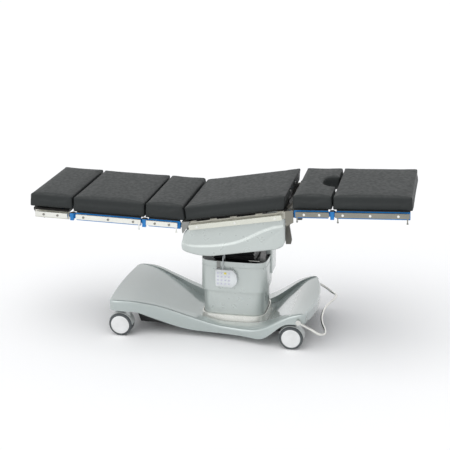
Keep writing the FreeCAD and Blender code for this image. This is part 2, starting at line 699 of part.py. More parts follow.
def cover_outline(y, inset=0.0):
    """Side view of the moulded side cover, in the flat seat frame, or a line set in by the wall."""
    slant = inset * 0.7
    left_points = [(x + inset, z) for x, z in COVER_LEFT[1:]]
    start = (COVER_LEFT[0][0] + inset, COVER_TOP - inset)
    low_points = [(x + slant, z + slant) for x, z in COVER_BOTTOM_LEFT[:-1]]
    low_end = (COVER_BOTTOM_LEFT[-1][0], COVER_BOTTOM_LEFT[-1][1] + inset)
    left = spline([(x, y, z) for x, z in [start] + left_points + low_points + [low_end]])
    corner_points = [(x - slant, z + slant) for x, z in COVER_CORNER[1:-1]]
    corner_start = (COVER_CORNER[0][0], COVER_CORNER[0][1] + inset)
    corner_end = (COVER_CORNER[-1][0] - inset, COVER_CORNER[-1][1])
    corner = spline([(x, y, z) for x, z in [corner_start] + corner_points + [corner_end]])
    top_right = (COVER_TOP_RIGHT - inset, COVER_TOP - inset)
    edges = [left, corner]
    for a, b in ((low_end, corner_start), (corner_end, top_right), (top_right, start)):
        edges.append(Part.LineSegment(V(a[0], y, a[1]), V(b[0], y, b[1])).toShape())
    return Part.Wire(Part.__sortEdges__(edges))


def side_covers():
    """The two moulded covers: an open shell with a raised lower part below the swoosh line."""
    body = Part.Face(cover_outline(-COVER_OUT)).extrude(V(0, COVER_OUT - COVER_IN, 0))
    face_y = -COVER_OUT - COVER_SWELL
    first = V(SWOOSH[0][0], face_y, SWOOSH[0][1])
    last = V(SWOOSH[-1][0], face_y, SWOOSH[-1][1])
    far_left = V(first.x, face_y, first.z - COVER_DROP)
    far_right = V(last.x, face_y, last.z - COVER_DROP)
    region = [spline([(x, face_y, z) for x, z in SWOOSH])]
    for a, b in ((last, far_right), (far_right, far_left), (far_left, first)):
        region.append(Part.LineSegment(a, b).toShape())
    below = Part.Face(Part.Wire(Part.__sortEdges__(region))).extrude(V(0, COVER_SWELL, 0))
    swell = below.common(Part.Face(cover_outline(face_y)).extrude(V(0, COVER_SWELL, 0)))
    hollow = Part.Face(cover_outline(-COVER_OUT + COVER_WALL, COVER_WALL))
    hollow = hollow.extrude(V(0, COVER_OUT - COVER_IN - COVER_WALL, 0))
    shell = body.fuse(swell).removeSplitter().cut(hollow)
    save("side_covers", to_seat(both_sides(shell)))


def superellipse(half_x, half_y, z):
    """The soft square plan of the column."""
    points = []
    for k in range(SQUIRCLE_POINTS):
        turn = 2 * math.pi * (k + 0.5) / SQUIRCLE_POINTS
        cx = math.copysign(abs(math.cos(turn)) ** SQUIRCLE_POWER, math.cos(turn))
        cy = math.copysign(abs(math.sin(turn)) ** SQUIRCLE_POWER, math.sin(turn))
        points.append(V(COLUMN_X + half_x * cx, half_y * cy, z))
    curve = Part.BSplineCurve()
    curve.interpolate(Points=points, PeriodicFlag=True)
    return Part.Wire(curve.toShape())


def soft_block(half_x, half_y, z0, z1):
    return Part.Face(superellipse(half_x, half_y, z0)).extrude(V(0, 0, z1 - z0))


def shroud(half_x, half_y, z0, z1, wall=SHROUD_WALL):
    outer = soft_block(half_x, half_y, z0, z1)
    return outer.cut(soft_block(half_x - wall, half_y - wall, z0 - 1, z1 + 1))


def column_shrouds():
    save("lower_shroud", shroud(LOWER_HALF_LONG, LOWER_HALF_DEEP, LOWER_BOTTOM, LOWER_TOP))
    sleeve_long = LOWER_HALF_LONG - SHROUD_WALL - SHROUD_GAP
    sleeve_deep = LOWER_HALF_DEEP - SHROUD_WALL - SHROUD_GAP
    sleeve_top = DECK_Z - LOWER_DOWN - UPPER_DOWN - MAST_STOP
    sleeve = shroud(sleeve_long, sleeve_deep, PLATE_TOP, sleeve_top)
    reach = SHROUD_GAP - SLIDE_PLAY
    wiper = shroud(
        sleeve_long + reach, sleeve_deep + reach, sleeve_top - SLEEVE_BAND, sleeve_top, SHROUD_WALL + reach
    )
    save("inner_sleeve", fuse([sleeve, wiper]))
    upper = shroud(UPPER_HALF_LONG, UPPER_HALF_DEEP, UPPER_BOTTOM, UPPER_RIM)
    groove_top = GROOVE_Z + GROOVE_TALL
    band = shroud(UPPER_HALF_LONG + 1, UPPER_HALF_DEEP + 1, GROOVE_Z, groove_top, GROOVE_DEEP + 1)
    save("upper_shroud", upper.cut(band))


def column_skirt():
    """The flared stainless collar at the foot of the column."""
    top = SKIRT_TOP
    foot = BASE_SEAT_Z - SEAT_SINK + PANEL_PLAY
    out_long, out_deep = SKIRT_TOP_LONG, SKIRT_TOP_DEEP
    low_long, low_deep = SKIRT_FOOT_LONG, SKIRT_FOOT_DEEP
    foot_wire = superellipse(low_long, low_deep, foot)
    outer = Part.makeLoft([foot_wire, superellipse(out_long, out_deep, top)], True)
    wall = SKIRT_WALL
    inner = Part.makeLoft(
        [
            superellipse(low_long - wall, low_deep - wall, foot - 0.01),
            superellipse(out_long - wall, out_deep - wall, top - wall),
        ],
        True,
    )
    opening = soft_block(LOWER_HALF_LONG + SHROUD_GAP, LOWER_HALF_DEEP + SHROUD_GAP, foot, top + 1)
    save("column_skirt", outer.cut(inner).cut(opening))


def tube_stage(half_long, half_deep, z0, z1):
    """A square mast tube with rounded corners."""
    x = COLUMN_X
    outer = rounded_block(x - half_long, x + half_long, -half_deep, half_deep, z0, z1, MAST_CORNER)
    long_in = half_long - MAST_WALL
    deep_in = half_deep - MAST_WALL
    inner = rounded_block(
        x - long_in, x + long_in, -deep_in, deep_in, z0 - 1, z1 + 1, MAST_CORNER - MAST_WALL / 2
    )
    return outer.cut(inner)


def slide_pads(half_long, half_deep, top):
    """Four slide pads round the upper end of a mast tube, which guide the next tube."""
    reach = MAST_GAP - SLIDE_PLAY
    x = COLUMN_X
    half = SLIDE_WIDE / 2
    low = top - SLIDE_TALL
    long_out = half_long + reach
    deep_out = half_deep + reach
    pads = box(x - long_out, x + long_out, -half, half, low, top)
    pads = pads.fuse(box(x - half, x + half, -deep_out, deep_out, low, top))
    long_in = half_long - 1
    deep_in = half_deep - 1
    return pads.cut(box(x - long_in, x + long_in, -deep_in, deep_in, low - 1, top + 1))


def lifting_mast():
    step = MAST_WALL + MAST_GAP
    cap = MAST_TOP - MAST_CAP
    foot = PLATE_TOP
    fixed_top = cap - LOWER_DOWN - UPPER_DOWN - MAST_STOP
    lower = tube_stage(MAST_HALF_LONG, MAST_HALF_DEEP, foot, fixed_top)
    save("mast_lower_tube", fuse([lower, slide_pads(MAST_HALF_LONG, MAST_HALF_DEEP, fixed_top)]))
    middle_long = MAST_HALF_LONG + step
    middle_deep = MAST_HALF_DEEP + step
    middle_top = cap - UPPER_DOWN - MAST_STOP
    middle = tube_stage(middle_long, middle_deep, foot + LOWER_DOWN + MAST_STOP, middle_top)
    save("mast_middle_tube", fuse([middle, slide_pads(middle_long, middle_deep, middle_top)]))
    long_out = MAST_HALF_LONG + 2 * step
    deep_out = MAST_HALF_DEEP + 2 * step
    upper = tube_stage(long_out, deep_out, foot + LOWER_DOWN + UPPER_DOWN + MAST_STOP, cap)
    lid = rounded_block(
        COLUMN_X - long_out, COLUMN_X + long_out, -deep_out, deep_out, cap, MAST_TOP, MAST_CORNER
    )
    save("mast_upper_tube", fuse([upper, lid]))
    lift_spindle(foot, cap)


def spindle_tube(radius, z0, z1, bore):
    outer = rod(radius, (COLUMN_X, 0, z0), (COLUMN_X, 0, z1))
    if bore <= 0:
        return outer
    return outer.cut(rod(bore, (COLUMN_X, 0, z0 - 1), (COLUMN_X, 0, z1 + 1)))


def lift_spindle(foot, cap):
    """The telescopic lifting spindle inside the mast."""
    outer = SPINDLE_RADIUS
    middle = outer - SPINDLE_WALL - SPINDLE_GAP
    inner = middle - SPINDLE_WALL - SPINDLE_GAP
    down = LOWER_DOWN + UPPER_DOWN
    body = spindle_tube(outer, foot, cap - down - MAST_STOP, outer - SPINDLE_WALL)
    save("lift_spindle_body", body)
    stage_foot = foot + LOWER_DOWN + MAST_STOP
    stage = spindle_tube(middle, stage_foot, cap - UPPER_DOWN - MAST_STOP, middle - SPINDLE_WALL)
    save("lift_spindle_stage", stage)
    save("lift_spindle_rod", spindle_tube(inner, foot + down + MAST_STOP, cap, 0))


def rectangle_wire(half_x, half_y, z):
    corners = [(-1, -1), (1, -1), (1, 1), (-1, 1), (-1, -1)]
    return Part.makePolygon([V(COLUMN_X + half_x * a, half_y * b, z) for a, b in corners])


def well_gaiter():
    """The dark deck inside the rim and the bellows that rises from it round the mast."""
    long_out = MAST_HALF_LONG + 2 * (MAST_WALL + MAST_GAP)
    deep_out = MAST_HALF_DEEP + 2 * (MAST_WALL + MAST_GAP)
    inset = SHROUD_WALL
    top = DECK_Z + DECK_THICK
    deck = soft_block(UPPER_HALF_LONG - inset, UPPER_HALF_DEEP - inset, DECK_Z, top)
    folds = [deck]
    tall = (MAST_TOP - top - 4) / GAITER_FOLDS
    for k in range(GAITER_FOLDS):
        spread = GAITER_SPREAD - GAITER_TAPER * k / GAITER_FOLDS
        low = top + k * tall
        wide = rectangle_wire(long_out + spread, deep_out + spread * 0.8, low + tall / 2)
        foot = rectangle_wire(long_out + spread - 9, deep_out + spread * 0.8 - 9, low)
        head = rectangle_wire(long_out + spread - 10, deep_out + spread * 0.8 - 10, low + tall)
        folds.append(Part.makeLoft([foot, wide], True))
        folds.append(Part.makeLoft([wide, head], True))
    solid = folds[0].fuse(folds[1:]).removeSplitter()
    hole = box(
        COLUMN_X - long_out, COLUMN_X + long_out, -deep_out, deep_out, DECK_Z - 1, MAST_TOP
    )
    save("well_gaiter", solid.cut(hole))


def column_head():
    """The flange on the mast with two bearing lugs for the sideways tilt."""
    flange = box(TILT_X - 80, TILT_X + 80, -60, 60, MAST_TOP, MAST_TOP + HEAD_FLANGE)
    pieces = [flange]
    inner = CROSS_HALF_LONG + 2
    for way in (-1, 1):
        x0 = TILT_X + way * inner
        x1 = TILT_X + way * (inner + HEAD_LUG_THICK)
        low, high = min(x0, x1), max(x0, x1)
        post = box(low, high, -HEAD_LUG_WIDE, HEAD_LUG_WIDE, MAST_TOP + HEAD_FLANGE, TILT_Z - 6)
        taper = rod(HEAD_LUG_RADIUS, (low, 0, TILT_Z), (high, 0, TILT_Z))
        pieces += [post, taper]
    solid = fuse(pieces)
    bore = rod(LATERAL_PIN + PIN_PLAY, (TILT_X - 120, 0, TILT_Z), (TILT_X + 120, 0, TILT_Z))
    save("column_head", solid.cut(bore))


def tilt_cross():
    """The cardan cross: pins along X in the column head, pins along Y in the seat's saddle plates."""
    long_half = CROSS_HALF_LONG
    wide = CROSS_HALF_WIDE
    tall = CROSS_HALF_TALL
    block = box(TILT_X - long_half, TILT_X + long_half, -wide, wide, TILT_Z - tall, TILT_Z + tall)
    lengthwise = edges_where(block, lambda e: e.BoundBox.XLength > 50)
    block = block.makeChamfer(14, lengthwise)
    reach = long_half + 2 + HEAD_LUG_THICK
    pin_x = rod(LATERAL_PIN, (TILT_X - reach, 0, TILT_Z), (TILT_X + reach, 0, TILT_Z))
    pin_end = SADDLE_IN + SADDLE_THICK + 4
    pin_y = across(TILT_PIN, TILT_X, TILT_Z, -pin_end, pin_end)
    collar = across(TILT_PIN + 8, TILT_X, TILT_Z, -SADDLE_IN + 1, SADDLE_IN - 1)
    save("tilt_cross", fuse([block, pin_x, pin_y, collar]))


def tilt_drive():
    """The worm gearbox and motor of the lengthwise tilt, clamped round the cross's front collar."""
    collar = TILT_PIN + 8
    near = -78.0
    far = -140.0
    case = across(collar + 4, TILT_X, TILT_Z, far, near)
    case = case.cut(across(collar, TILT_X, TILT_Z, far - 1, near + 1))
    middle = (near + far) / 2
    motor_z = TILT_Z + 18
    motor = rod(17, (TILT_X - 20, middle, motor_z), (TILT_X + 82, middle, motor_z))
    clear = across(collar, TILT_X, TILT_Z, far - 1, near + 1)
    save("tilt_drive", fuse([case, motor.cut(clear)]))


def rear_panel():
    """The raised panel at the rear corner of the upper shroud."""
    panel = box(205, 241, 20, 146, 286, 436)
    panel = panel.makeFillet(8, edges_where(panel, is_upright))
    play = PANEL_PLAY
    keep_out = soft_block(UPPER_HALF_LONG + play, UPPER_HALF_DEEP + play, UPPER_BOTTOM, UPPER_RIM + play)
    save("rear_panel", panel.cut(keep_out))


def well_lever():
    """The short stainless bar at the front right inside the rim."""
    top = DECK_Z + DECK_THICK
    bar_z = top + 9
    y = -104.0
    pieces = [rod(4, (140, y, bar_z), (196, y, bar_z))]
    for x in (152, 184):
        pieces.append(rod(4, (x, y, top), (x, y, bar_z)))
    save("well_lever", fuse(pieces))


def hand_control():
    """The flat hand control that hangs on the front of the upper shroud."""
    y = -CONTROL_BACK
    corners = [(-24, 261), (62, 257), (84, 277), (90, 297), (84, 330), (66, 352.5), (-24, 352.5)]
    body = polygon([(x, y, z) for x, z in corners]).extrude(V(0, -CONTROL_THICK, 0))
    upright = edges_where(body, lambda e: e.BoundBox.YLength > 5)
    body = body.makeFillet(7, upright)
    front = edges_where(body, lambda e: e.BoundBox.YMax < y - CONTROL_THICK + 0.1)
    body = body.makeFillet(3, front)
    save("hand_control", body)
    face = y - CONTROL_THICK
    keys = []
    for column in range(4):
        for row in range(4):
            x = -10 + 19 * column
            z = 334 - 19 * row
            key = box(x - 6, x + 6, face - 1.0, face, z - 5, z + 5)
            keys.append(key.makeFillet(2, edges_where(key, lambda e: e.BoundBox.YLength > 0.5)))
    save("control_keys", Part.makeCompound(keys))
    hanger()


def hanger():
    """The strap behind the hand control that hooks over the rim."""
    front = -CONTROL_BACK
    x0, x1 = -20, -2
    rim = UPPER_RIM
    shroud_inner = -UPPER_HALF_DEEP + SHROUD_WALL + HANGER_SLACK
    leg = box(x0, x1, front, front + 2, 330, rim + 3)
    top = box(x0, x1, front, shroud_inner + 2, rim + 1, rim + 3)
    back = box(x0, x1, shroud_inner, shroud_inner + 2, DECK_Z + DECK_THICK, rim + 3)
    save("control_hanger", fuse([leg, top, back]))


def tangent_path(points):
    """Straight runs joined by tangent arcs as large as the runs allow; returns the wire and radii."""
    corners = [V(*p) for p in points]
    edges = []
    radii = []
    start = corners[0]
    for before, corner, after in zip(corners, corners[1:], corners[2:]):
        back = before - corner
        on = after - corner
        angle = back.getAngle(on)
        half_turn = (math.pi - angle) / 2
        reach = 0.45 * min(back.Length, on.Length)
        radii.append(reach / math.tan(half_turn))
        a = corner + back.normalize() * reach
        b = corner + on.normalize() * reach
        bisector = (a + b) * 0.5 - corner
        depth = radii[-1] / math.cos(half_turn) - radii[-1]
        middle = corner + bisector.normalize() * depth
        edges.append(Part.LineSegment(start, a).toShape())
        edges.append(Part.Arc(a, middle, b).toShape())
        start = b
    edges.append(Part.LineSegment(start, corners[-1]).toShape())
    return Part.Wire(edges), radii


def swept_tube(points, radius):
    path, radii = tangent_path(points)
    way = V(*points[1]) - V(*points[0])
    ring = Part.Wire(Part.makeCircle(radius, V(*points[0]), way))
    return path.makePipeShell([ring], True, False), radii, path.Length


def control_lead():
    """The lead from the hand control over the rim into its gland in the well."""
    tube, radii, length = swept_tube(LEAD_ROUTE, LEAD_RADIUS)
    print("lead length", round(length, 1), "radii", [round(r, 1) for r in radii])
    print("lead volume ratio", round(tube.Volume / (math.pi * LEAD_RADIUS**2 * length), 4))
    save("control_lead", tube)
    x, y, z = LEAD_ROUTE[-1]
    deck = DECK_Z + DECK_THICK
    collar = rod(8, (x, y, deck), (x, y, deck + 4))
    cone = Part.makeCone(6.5, 4.5, z - deck - 4, V(x, y, deck + 4), AXIS_Z)
    save("lead_gland", fuse([collar, cone]))


def smooth_region(top, bottom, y0, y1):
    """A slab whose side view lies between two smooth lines."""
    upper = spline([(x, y0, z) for x, z in top])
    lower = spline([(x, y0, z) for x, z in bottom])
    ends = []
    for k in (0, -1):
        a = V(top[k][0], y0, top[k][1])
        b = V(bottom[k][0], y0, bottom[k][1])
        ends.append(Part.LineSegment(a, b).toShape())
    face = Part.Face(Part.Wire(Part.__sortEdges__([upper, lower] + ends)))
    return face.extrude(V(0, y1 - y0, 0))


def plan_block(inset, z0, z1):
    """The waisted plan of the base, its ends bowed and its corners rounded."""
    side = [(x, w - inset) for x, w in BASE_SIDE]
    left = BASE_LEFT + inset
    right = BASE_RIGHT - inset
    front = spline([(x, -w, z0) for x, w in side])
    back = spline([(x, w, z0) for x, w in side])
    first, last = side[0], side[-1]
    left_corner = left + BASE_BOW
    right_corner = right - BASE_BOW_RIGHT
    left_w = first[1] - BASE_CORNER
    right_w = last[1] - BASE_CORNER
    edges = [front, back]
    for way in (-1, 1):
        edges.append(corner_curve(first, left_corner, left_w, way, z0))
        edges.append(corner_curve(last, right_corner, right_w, way, z0))
    for end_x, corner_x, w in ((left, left_corner, left_w), (right, right_corner, right_w)):
        arc = Part.Arc(V(corner_x, -w, z0), V(end_x, 0, z0), V(corner_x, w, z0))
        edges.append(arc.toShape())
    face = Part.Face(Part.Wire(Part.__sortEdges__(edges)))
    return face.extrude(V(0, 0, z1 - z0))


def corner_curve(side_end, corner_x, w, way, z):
    """A rounded corner between the side line and the bowed end."""
    curve = Part.BezierCurve()
    start = V(side_end[0], way * side_end[1], z)
    pull = V(corner_x, way * side_end[1], z)
    end = V(corner_x, way * w, z)
    curve.setPoles([start, start + (pull - start) * 0.65, end + (pull - end) * 0.65, end])
    return curve.toShape()


def follows(edge, line):
    """True for an edge that lies on a line of the side view."""
    for share in (0.1, 0.5, 0.9):
        point = edge.valueAt(edge.FirstParameter + (edge.LastParameter - edge.FirstParameter) * share)
        if line.distToShape(Part.Vertex(point.x, 0, point.z))[0] > 0.5:
            return False
    return True


def base_cover():
    """The wave-shaped moulding over the chassis, with a dished ramp up to the column."""
    deep = max(w for x, w in BASE_SIDE) + 10
    wave = smooth_region(BASE_BAND_TOP, BASE_BAND_BOTTOM, -deep, deep)
    body = wave.common(plan_block(0, 0, 260))
    top_line = spline([(x, 0, z) for x, z in BASE_BAND_TOP])
    body = body.makeFillet(BASE_ROLL, edges_where(body, lambda e: follows(e, top_line)))
    above = [(x, 300.0) for x, z in BASE_CHANNEL]
    over = smooth_region([above[0], above[-1]], BASE_CHANNEL, -deep, deep)
    front = spline([(x, -w, 0) for x, w in BASE_CREASE])
    back = spline([(x, w, 0) for x, w in BASE_CREASE])
    ends = []
    for k in (0, -1):
        x, w = BASE_CREASE[k]
        ends.append(Part.LineSegment(V(x, -w, 0), V(x, w, 0)).toShape())
    crease = Part.Face(Part.Wire(Part.__sortEdges__([front, back] + ends))).extrude(V(0, 0, 300))
    body = body.cut(over.common(crease))
    inner_top = [(x, z - BASE_WALL) for x, z in BASE_CHANNEL]
    inner_bottom = [(BASE_CHANNEL[0][0], 0.0), (BASE_CHANNEL[-1][0], 0.0)]
    hollow = smooth_region(inner_top, inner_bottom, -deep, deep).common(plan_block(BASE_WALL, -1, 260))
    body = body.cut(hollow)
    well = soft_block(LOWER_HALF_LONG + COVER_PLAY, LOWER_HALF_DEEP + COVER_PLAY, 0, 300)
    recess = BASE_SEAT_Z - SEAT_SINK
    skirt_seat = soft_block(SKIRT_FOOT_LONG + SEAT_PLAY, SKIRT_FOOT_DEEP + SEAT_PLAY, recess, 300)
    body = body.cut(well).cut(skirt_seat)
    shaft = across(BRAKE_SHAFT + 2, BRAKE_X, BRAKE_Z, -deep, deep)
    save("base_cover", body.cut(shaft))


def chassis():
    """Cross members over the castors, two bent spines and the low centre plate."""
    pieces = []
    half = CROSS_MEMBER_WIDE / 2
    reach = CROSS_MEMBER_REACH
    for x in (CASTOR_LEFT_X, CASTOR_RIGHT_X):
        pieces.append(box(x - half, x + half, -reach, reach, CROSS_MEMBER_BOTTOM, CROSS_MEMBER_TOP))
    for outline in (LEFT_SPINE, RIGHT_SPINE):
        spine = plate_xz(outline, -SPINE_OUT, -SPINE_IN)
        pieces += [spine, mirrored(spine)]
    for outline in (LEFT_PAN, RIGHT_PAN):
        side = plate_xz(outline, -PAN_OUT, -PAN_IN)
        pieces += [side, mirrored(side)]
    for outline in (LEFT_PAN_END, RIGHT_PAN_END):
        pieces.append(plate_xz(outline, -PAN_OUT, PAN_OUT))
    pieces.append(box(-246, 322, -PAN_OUT, PAN_OUT, PLATE_BOTTOM, PLATE_TOP))
    pieces.append(box(-424, -262, -PAN_OUT, PAN_OUT, TRAY_BOTTOM, TRAY_TOP))
    solid = fuse(pieces)
    for x in (CASTOR_LEFT_X, CASTOR_RIGHT_X):
        for y in (-CASTOR_Y, CASTOR_Y):
            bore = rod(STEM_RADIUS + PIN_PLAY, (x, y, CROSS_MEMBER_BOTTOM - 1), (x, y, STEM_TOP + 1))
            solid = solid.cut(bore)
    solid = solid.cut(across(BRAKE_SHAFT + 1, BRAKE_X, BRAKE_Z, -300, 300))
    save("chassis", solid)
    battery = rounded_block(-398, -250, -88, 88, TRAY_TOP, 96, 8)
    save("battery_pack", battery)
    save("control_unit", rounded_block(268, 316, -88, 88, PLATE_TOP, 74, 6))


def mains_inlet():
    """The inlet socket and the bonding pin at the head end of the chassis."""
    x = CASTOR_LEFT_X - CROSS_MEMBER_WIDE / 2
    body = box(x - 30, x, -24, 24, 139, 163)
    mouth = box(x - 31, x - 12, -14, 14, 142, 160)
    pin = rod(5, (x, 55, 150), (x - 22, 55, 150))
    tip = rod(6.5, (x - 8, 55, 150), (x - 12, 55, 150))
    save("mains_inlet", Part.makeCompound([body.cut(mouth), fuse([pin, tip])]))


def castor(name, x, y):
    """One twin-wheel castor: the hood with its stem and axle, and the two wheels."""
    axle_x = x - CASTOR_TRAIL
    z = WHEEL_RADIUS
    web = CASTOR_WEB / 2
    hood_in = WHEEL_RADIUS + 1.5
    hood_out = WHEEL_RADIUS + 4.0
    half = web + WHEEL_PLAY + WHEEL_WIDTH - 10
    hood = across(hood_out, axle_x, z, y - half, y + half).cut(across(hood_in, axle_x, z, y - 99, y + 99))
    centre = across(hood_in + 1, axle_x, z, y - web, y + web)
    shape = fuse([hood, centre])
    keep = plate_xz(
        [(axle_x - 90, z + 34), (axle_x - 26, z + 10), (axle_x, z - 14), (axle_x + 30, z - 14),
         (axle_x + 90, z + 16), (axle_x + 90, z + 90), (axle_x - 90, z + 90)],
        y - 60,
        y + 60,
    )
    shape = shape.common(keep)
    boss = rod(17, (x, y, z + 40), (x, y, CASTOR_TOP)).cut(across(hood_in, axle_x, z, y - 99, y + 99))
    stem = rod(STEM_RADIUS, (x, y, CASTOR_TOP - 1), (x, y, STEM_TOP))
    reach = web + WHEEL_PLAY + WHEEL_WIDTH - 7
    axle = across(AXLE_RADIUS, axle_x, z, y - reach, y + reach)
    save(f"castor_housing_{name}", fuse([shape, boss, stem, axle]))
    wheels = []
    near = web + WHEEL_PLAY
    for way in (-1, 1):
        wheels.append(wheel(axle_x, y, z, near, way))
    save(f"castor_wheels_{name}", Part.makeCompound(wheels))


def wheel(x, y, z, near, way):
    """A wheel turned about the axle: blind bore, crowned tyre and a shallow disc cover."""
    radius = WHEEL_RADIUS
    bore = AXLE_RADIUS + PIN_PLAY
    wide = WHEEL_WIDTH
    outline = [
        (bore, near), (radius - 12, near), (radius - 3, near + 2.5), (radius, near + 8),
        (radius, near + wide - 8), (radius - 3, near + wide - 3), (radius - 13, near + wide - 1.5),
        (radius - 16, near + wide), (16, near + wide - 1), (0, near + wide - 1),
        (0, near + wide - 5), (bore, near + wide - 5),
    ]
    face = polygon([(x + r, y + way * w, z) for r, w in outline])
    return face.revolve(V(x, y, z), AXIS_Y, 360)


def brake_bar():
    """The foot bar: shaft across the base, an arm each side and the bowed bar at floor height."""
    y = BRAKE_ARM_Y
    shaft = across(BRAKE_SHAFT, BRAKE_X, BRAKE_Z, -y, y)
    z = BRAKE_BAR_Z
    tip = BRAKE_CORNER_X
    route = [
        (BRAKE_X, -y, BRAKE_Z), (BRAKE_X + 70, -y + 2, BRAKE_Z - 37), (tip - 28, -y + 8, z + 4),
        (tip, -y + 27, z), (tip - 5, -y + 84, z), (tip - 31, -y + 164, z), (tip - 45, -y + 249, z),
    ]
    route += [(x, -along, height) for x, along, height in reversed(route)]
    bar, radii, length = swept_tube(route, BRAKE_BAR_RADIUS)
    bosses = []
    for way in (-1, 1):
        low, high = sorted((way * BRAKE_BOSS_IN, way * BRAKE_BOSS_OUT))
        bosses.append(across(BRAKE_BOSS_RADIUS, BRAKE_X, BRAKE_Z, low, high))
    save("brake_bar", fuse([shaft, bar] + bosses))


def main():
    lower_back()
    upper_back()
    head_section()
    pelvic_section()
    leg_section()
    seat_frame()
    seat_rails()
    seat_cushion()
    hinge_brackets()
    hinge_drives()
    side_covers()
    column_shrouds()
    column_skirt()
    lifting_mast()
    well_gaiter()
    column_head()
    tilt_cross()
    tilt_drive()
    rear_panel()
    well_lever()
    hand_control()
    control_lead()
    base_cover()
    chassis()
    mains_inlet()
    for end, x in (("left", CASTOR_LEFT_X), ("right", CASTOR_RIGHT_X)):
        for side, y in (("front", -CASTOR_Y), ("back", CASTOR_Y)):
            castor(f"{end}_{side}", x, y)
    brake_bar()


main()
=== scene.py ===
"""An operating table: sectioned top, tilting head, telescopic column, moulded base on castors."""

import json
import math

import bmesh
import bpy
from mathutils import Matrix, Vector, geometry

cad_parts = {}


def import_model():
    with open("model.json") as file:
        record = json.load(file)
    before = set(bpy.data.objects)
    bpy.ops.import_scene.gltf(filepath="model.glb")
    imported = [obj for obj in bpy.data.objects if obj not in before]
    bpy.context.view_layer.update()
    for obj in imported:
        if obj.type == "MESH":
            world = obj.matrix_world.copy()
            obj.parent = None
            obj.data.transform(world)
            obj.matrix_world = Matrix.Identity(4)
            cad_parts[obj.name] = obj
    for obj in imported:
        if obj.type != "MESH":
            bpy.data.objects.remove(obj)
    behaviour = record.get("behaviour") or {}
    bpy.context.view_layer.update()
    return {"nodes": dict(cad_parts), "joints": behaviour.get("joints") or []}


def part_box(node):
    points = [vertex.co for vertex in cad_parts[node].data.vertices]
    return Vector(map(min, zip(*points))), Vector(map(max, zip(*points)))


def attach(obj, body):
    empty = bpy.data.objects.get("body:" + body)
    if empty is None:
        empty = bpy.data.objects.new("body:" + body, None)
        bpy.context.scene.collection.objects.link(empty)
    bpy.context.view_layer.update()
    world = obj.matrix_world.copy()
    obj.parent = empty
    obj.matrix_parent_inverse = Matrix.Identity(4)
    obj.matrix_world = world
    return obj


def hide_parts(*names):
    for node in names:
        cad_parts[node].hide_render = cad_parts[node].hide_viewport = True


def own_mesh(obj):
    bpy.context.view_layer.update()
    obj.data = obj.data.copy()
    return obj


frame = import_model()
nodes = frame["nodes"]
scene = bpy.context.scene

# Places that come from the frame: the two main hinges of the table top
hinge_at = {j["name"]: Vector(j["pos_m"]) for j in frame["joints"] if "pos_m" in j}
BACK_HINGE = Vector((hinge_at["back_hinge"].x, 0.0, hinge_at["back_hinge"].z))
LEG_HINGE = Vector((hinge_at["pelvic_hinge"].x, 0.0, hinge_at["pelvic_hinge"].z))
LEG_HINGE_FLAT = (LEG_HINGE - BACK_HINGE).length
SEAT_RISE = math.atan2(LEG_HINGE.z - BACK_HINGE.z, LEG_HINGE.x - BACK_HINGE.x)
BACK_DROP = math.radians(1.2)
LEG_RISE = math.radians(2.5)

PLACE_SEAT = Matrix.Translation(BACK_HINGE) @ Matrix.Rotation(-SEAT_RISE, 4, "Y")
PLACE_BACK = Matrix.Translation(BACK_HINGE) @ Matrix.Rotation(BACK_DROP, 4, "Y")
PLACE_LEGS = (
    Matrix.Translation(LEG_HINGE)
    @ Matrix.Rotation(-LEG_RISE, 4, "Y")
    @ Matrix.Translation((-LEG_HINGE_FLAT, 0, 0))
)

# Cushions, in metres on the flat table: x from, x to, foot, top, how far the right end's foot
# leans, and how the section is placed
HALF_WIDTH = 0.270
PADS = {
    "head": (-0.8060, -0.5810, 0.039, 0.107, 0.0, PLACE_BACK),
    "upper_back": (-0.5780, -0.2050, 0.027, 0.105, 0.0, PLACE_BACK),
    "lower_back": (-0.2020, -0.0100, 0.027, 0.105, 0.0135, PLACE_BACK),
    "seat": (0.0125, 0.5300, 0.027, 0.097, -0.0200, PLACE_SEAT),
    "pelvic": (0.5475, 0.7390, 0.027, 0.097, 0.0, PLACE_LEGS),
    "leg": (0.7420, 1.1225, 0.027, 0.097, 0.0, PLACE_LEGS),
}
PAD_SHRINK = 0.0008
PAD_CORNER = 0.006
PAD_EDGE = 0.006
VOXEL = 0.005
PUFF_CAP = 0.003
PUFF_PRESSURE = 4.0
PUFF_FRAMES = 20
HELD_BELOW = 0.004
CROWN = 0.0035
SIDE_PULL = 0.0018
SEAM_BELOW_TOP = 0.0105
NOTCH_DEPTH = 0.072
NOTCH_HALF = 0.090
CORNER_STEPS = 6
NOTCH_STEPS = 12
SIDE_REACH = 0.004
CORNER_REACH = 0.012
NO_SEAM = 0.01
LEAN_FROM = 0.4

# The moulded side covers, on the flat table in metres
COVER_OUTER = 0.272
COVER_INNER = 0.240
COVER_SWELL = 0.009
COVER_ROLL = 0.009
COVER_WALL = 0.003
COVER_LEFT = [
    (0.0110, -0.0169), (-0.0096, -0.0360), (-0.0234, -0.0663), (-0.0330, -0.0990),
    (-0.0285, -0.1220), (0.0060, -0.1425), (0.0580, -0.1600), (0.1080, -0.1685),
]
COVER_RIGHT = [(0.4400, -0.1685), (0.4720, -0.1580), (0.4880, -0.1360)]
COVER_TOP_RIGHT = (0.5050, -0.0169)
SWOOSH = [
    (-0.0400, -0.0660), (-0.0220, -0.0800), (0.0070, -0.0960), (0.0720, -0.1070), (0.1520, -0.1115),
    (0.2190, -0.1090), (0.2690, -0.1010), (0.3200, -0.0860), (0.3720, -0.0675), (0.4270, -0.0535),
    (0.4560, -0.0490), (0.5200, -0.0470),
]
DENT_FROM = (0.470, -0.072, 0.006)
DENT_TO = (0.392, -0.118, 0.024)
DENT_DEPTH = 0.0030
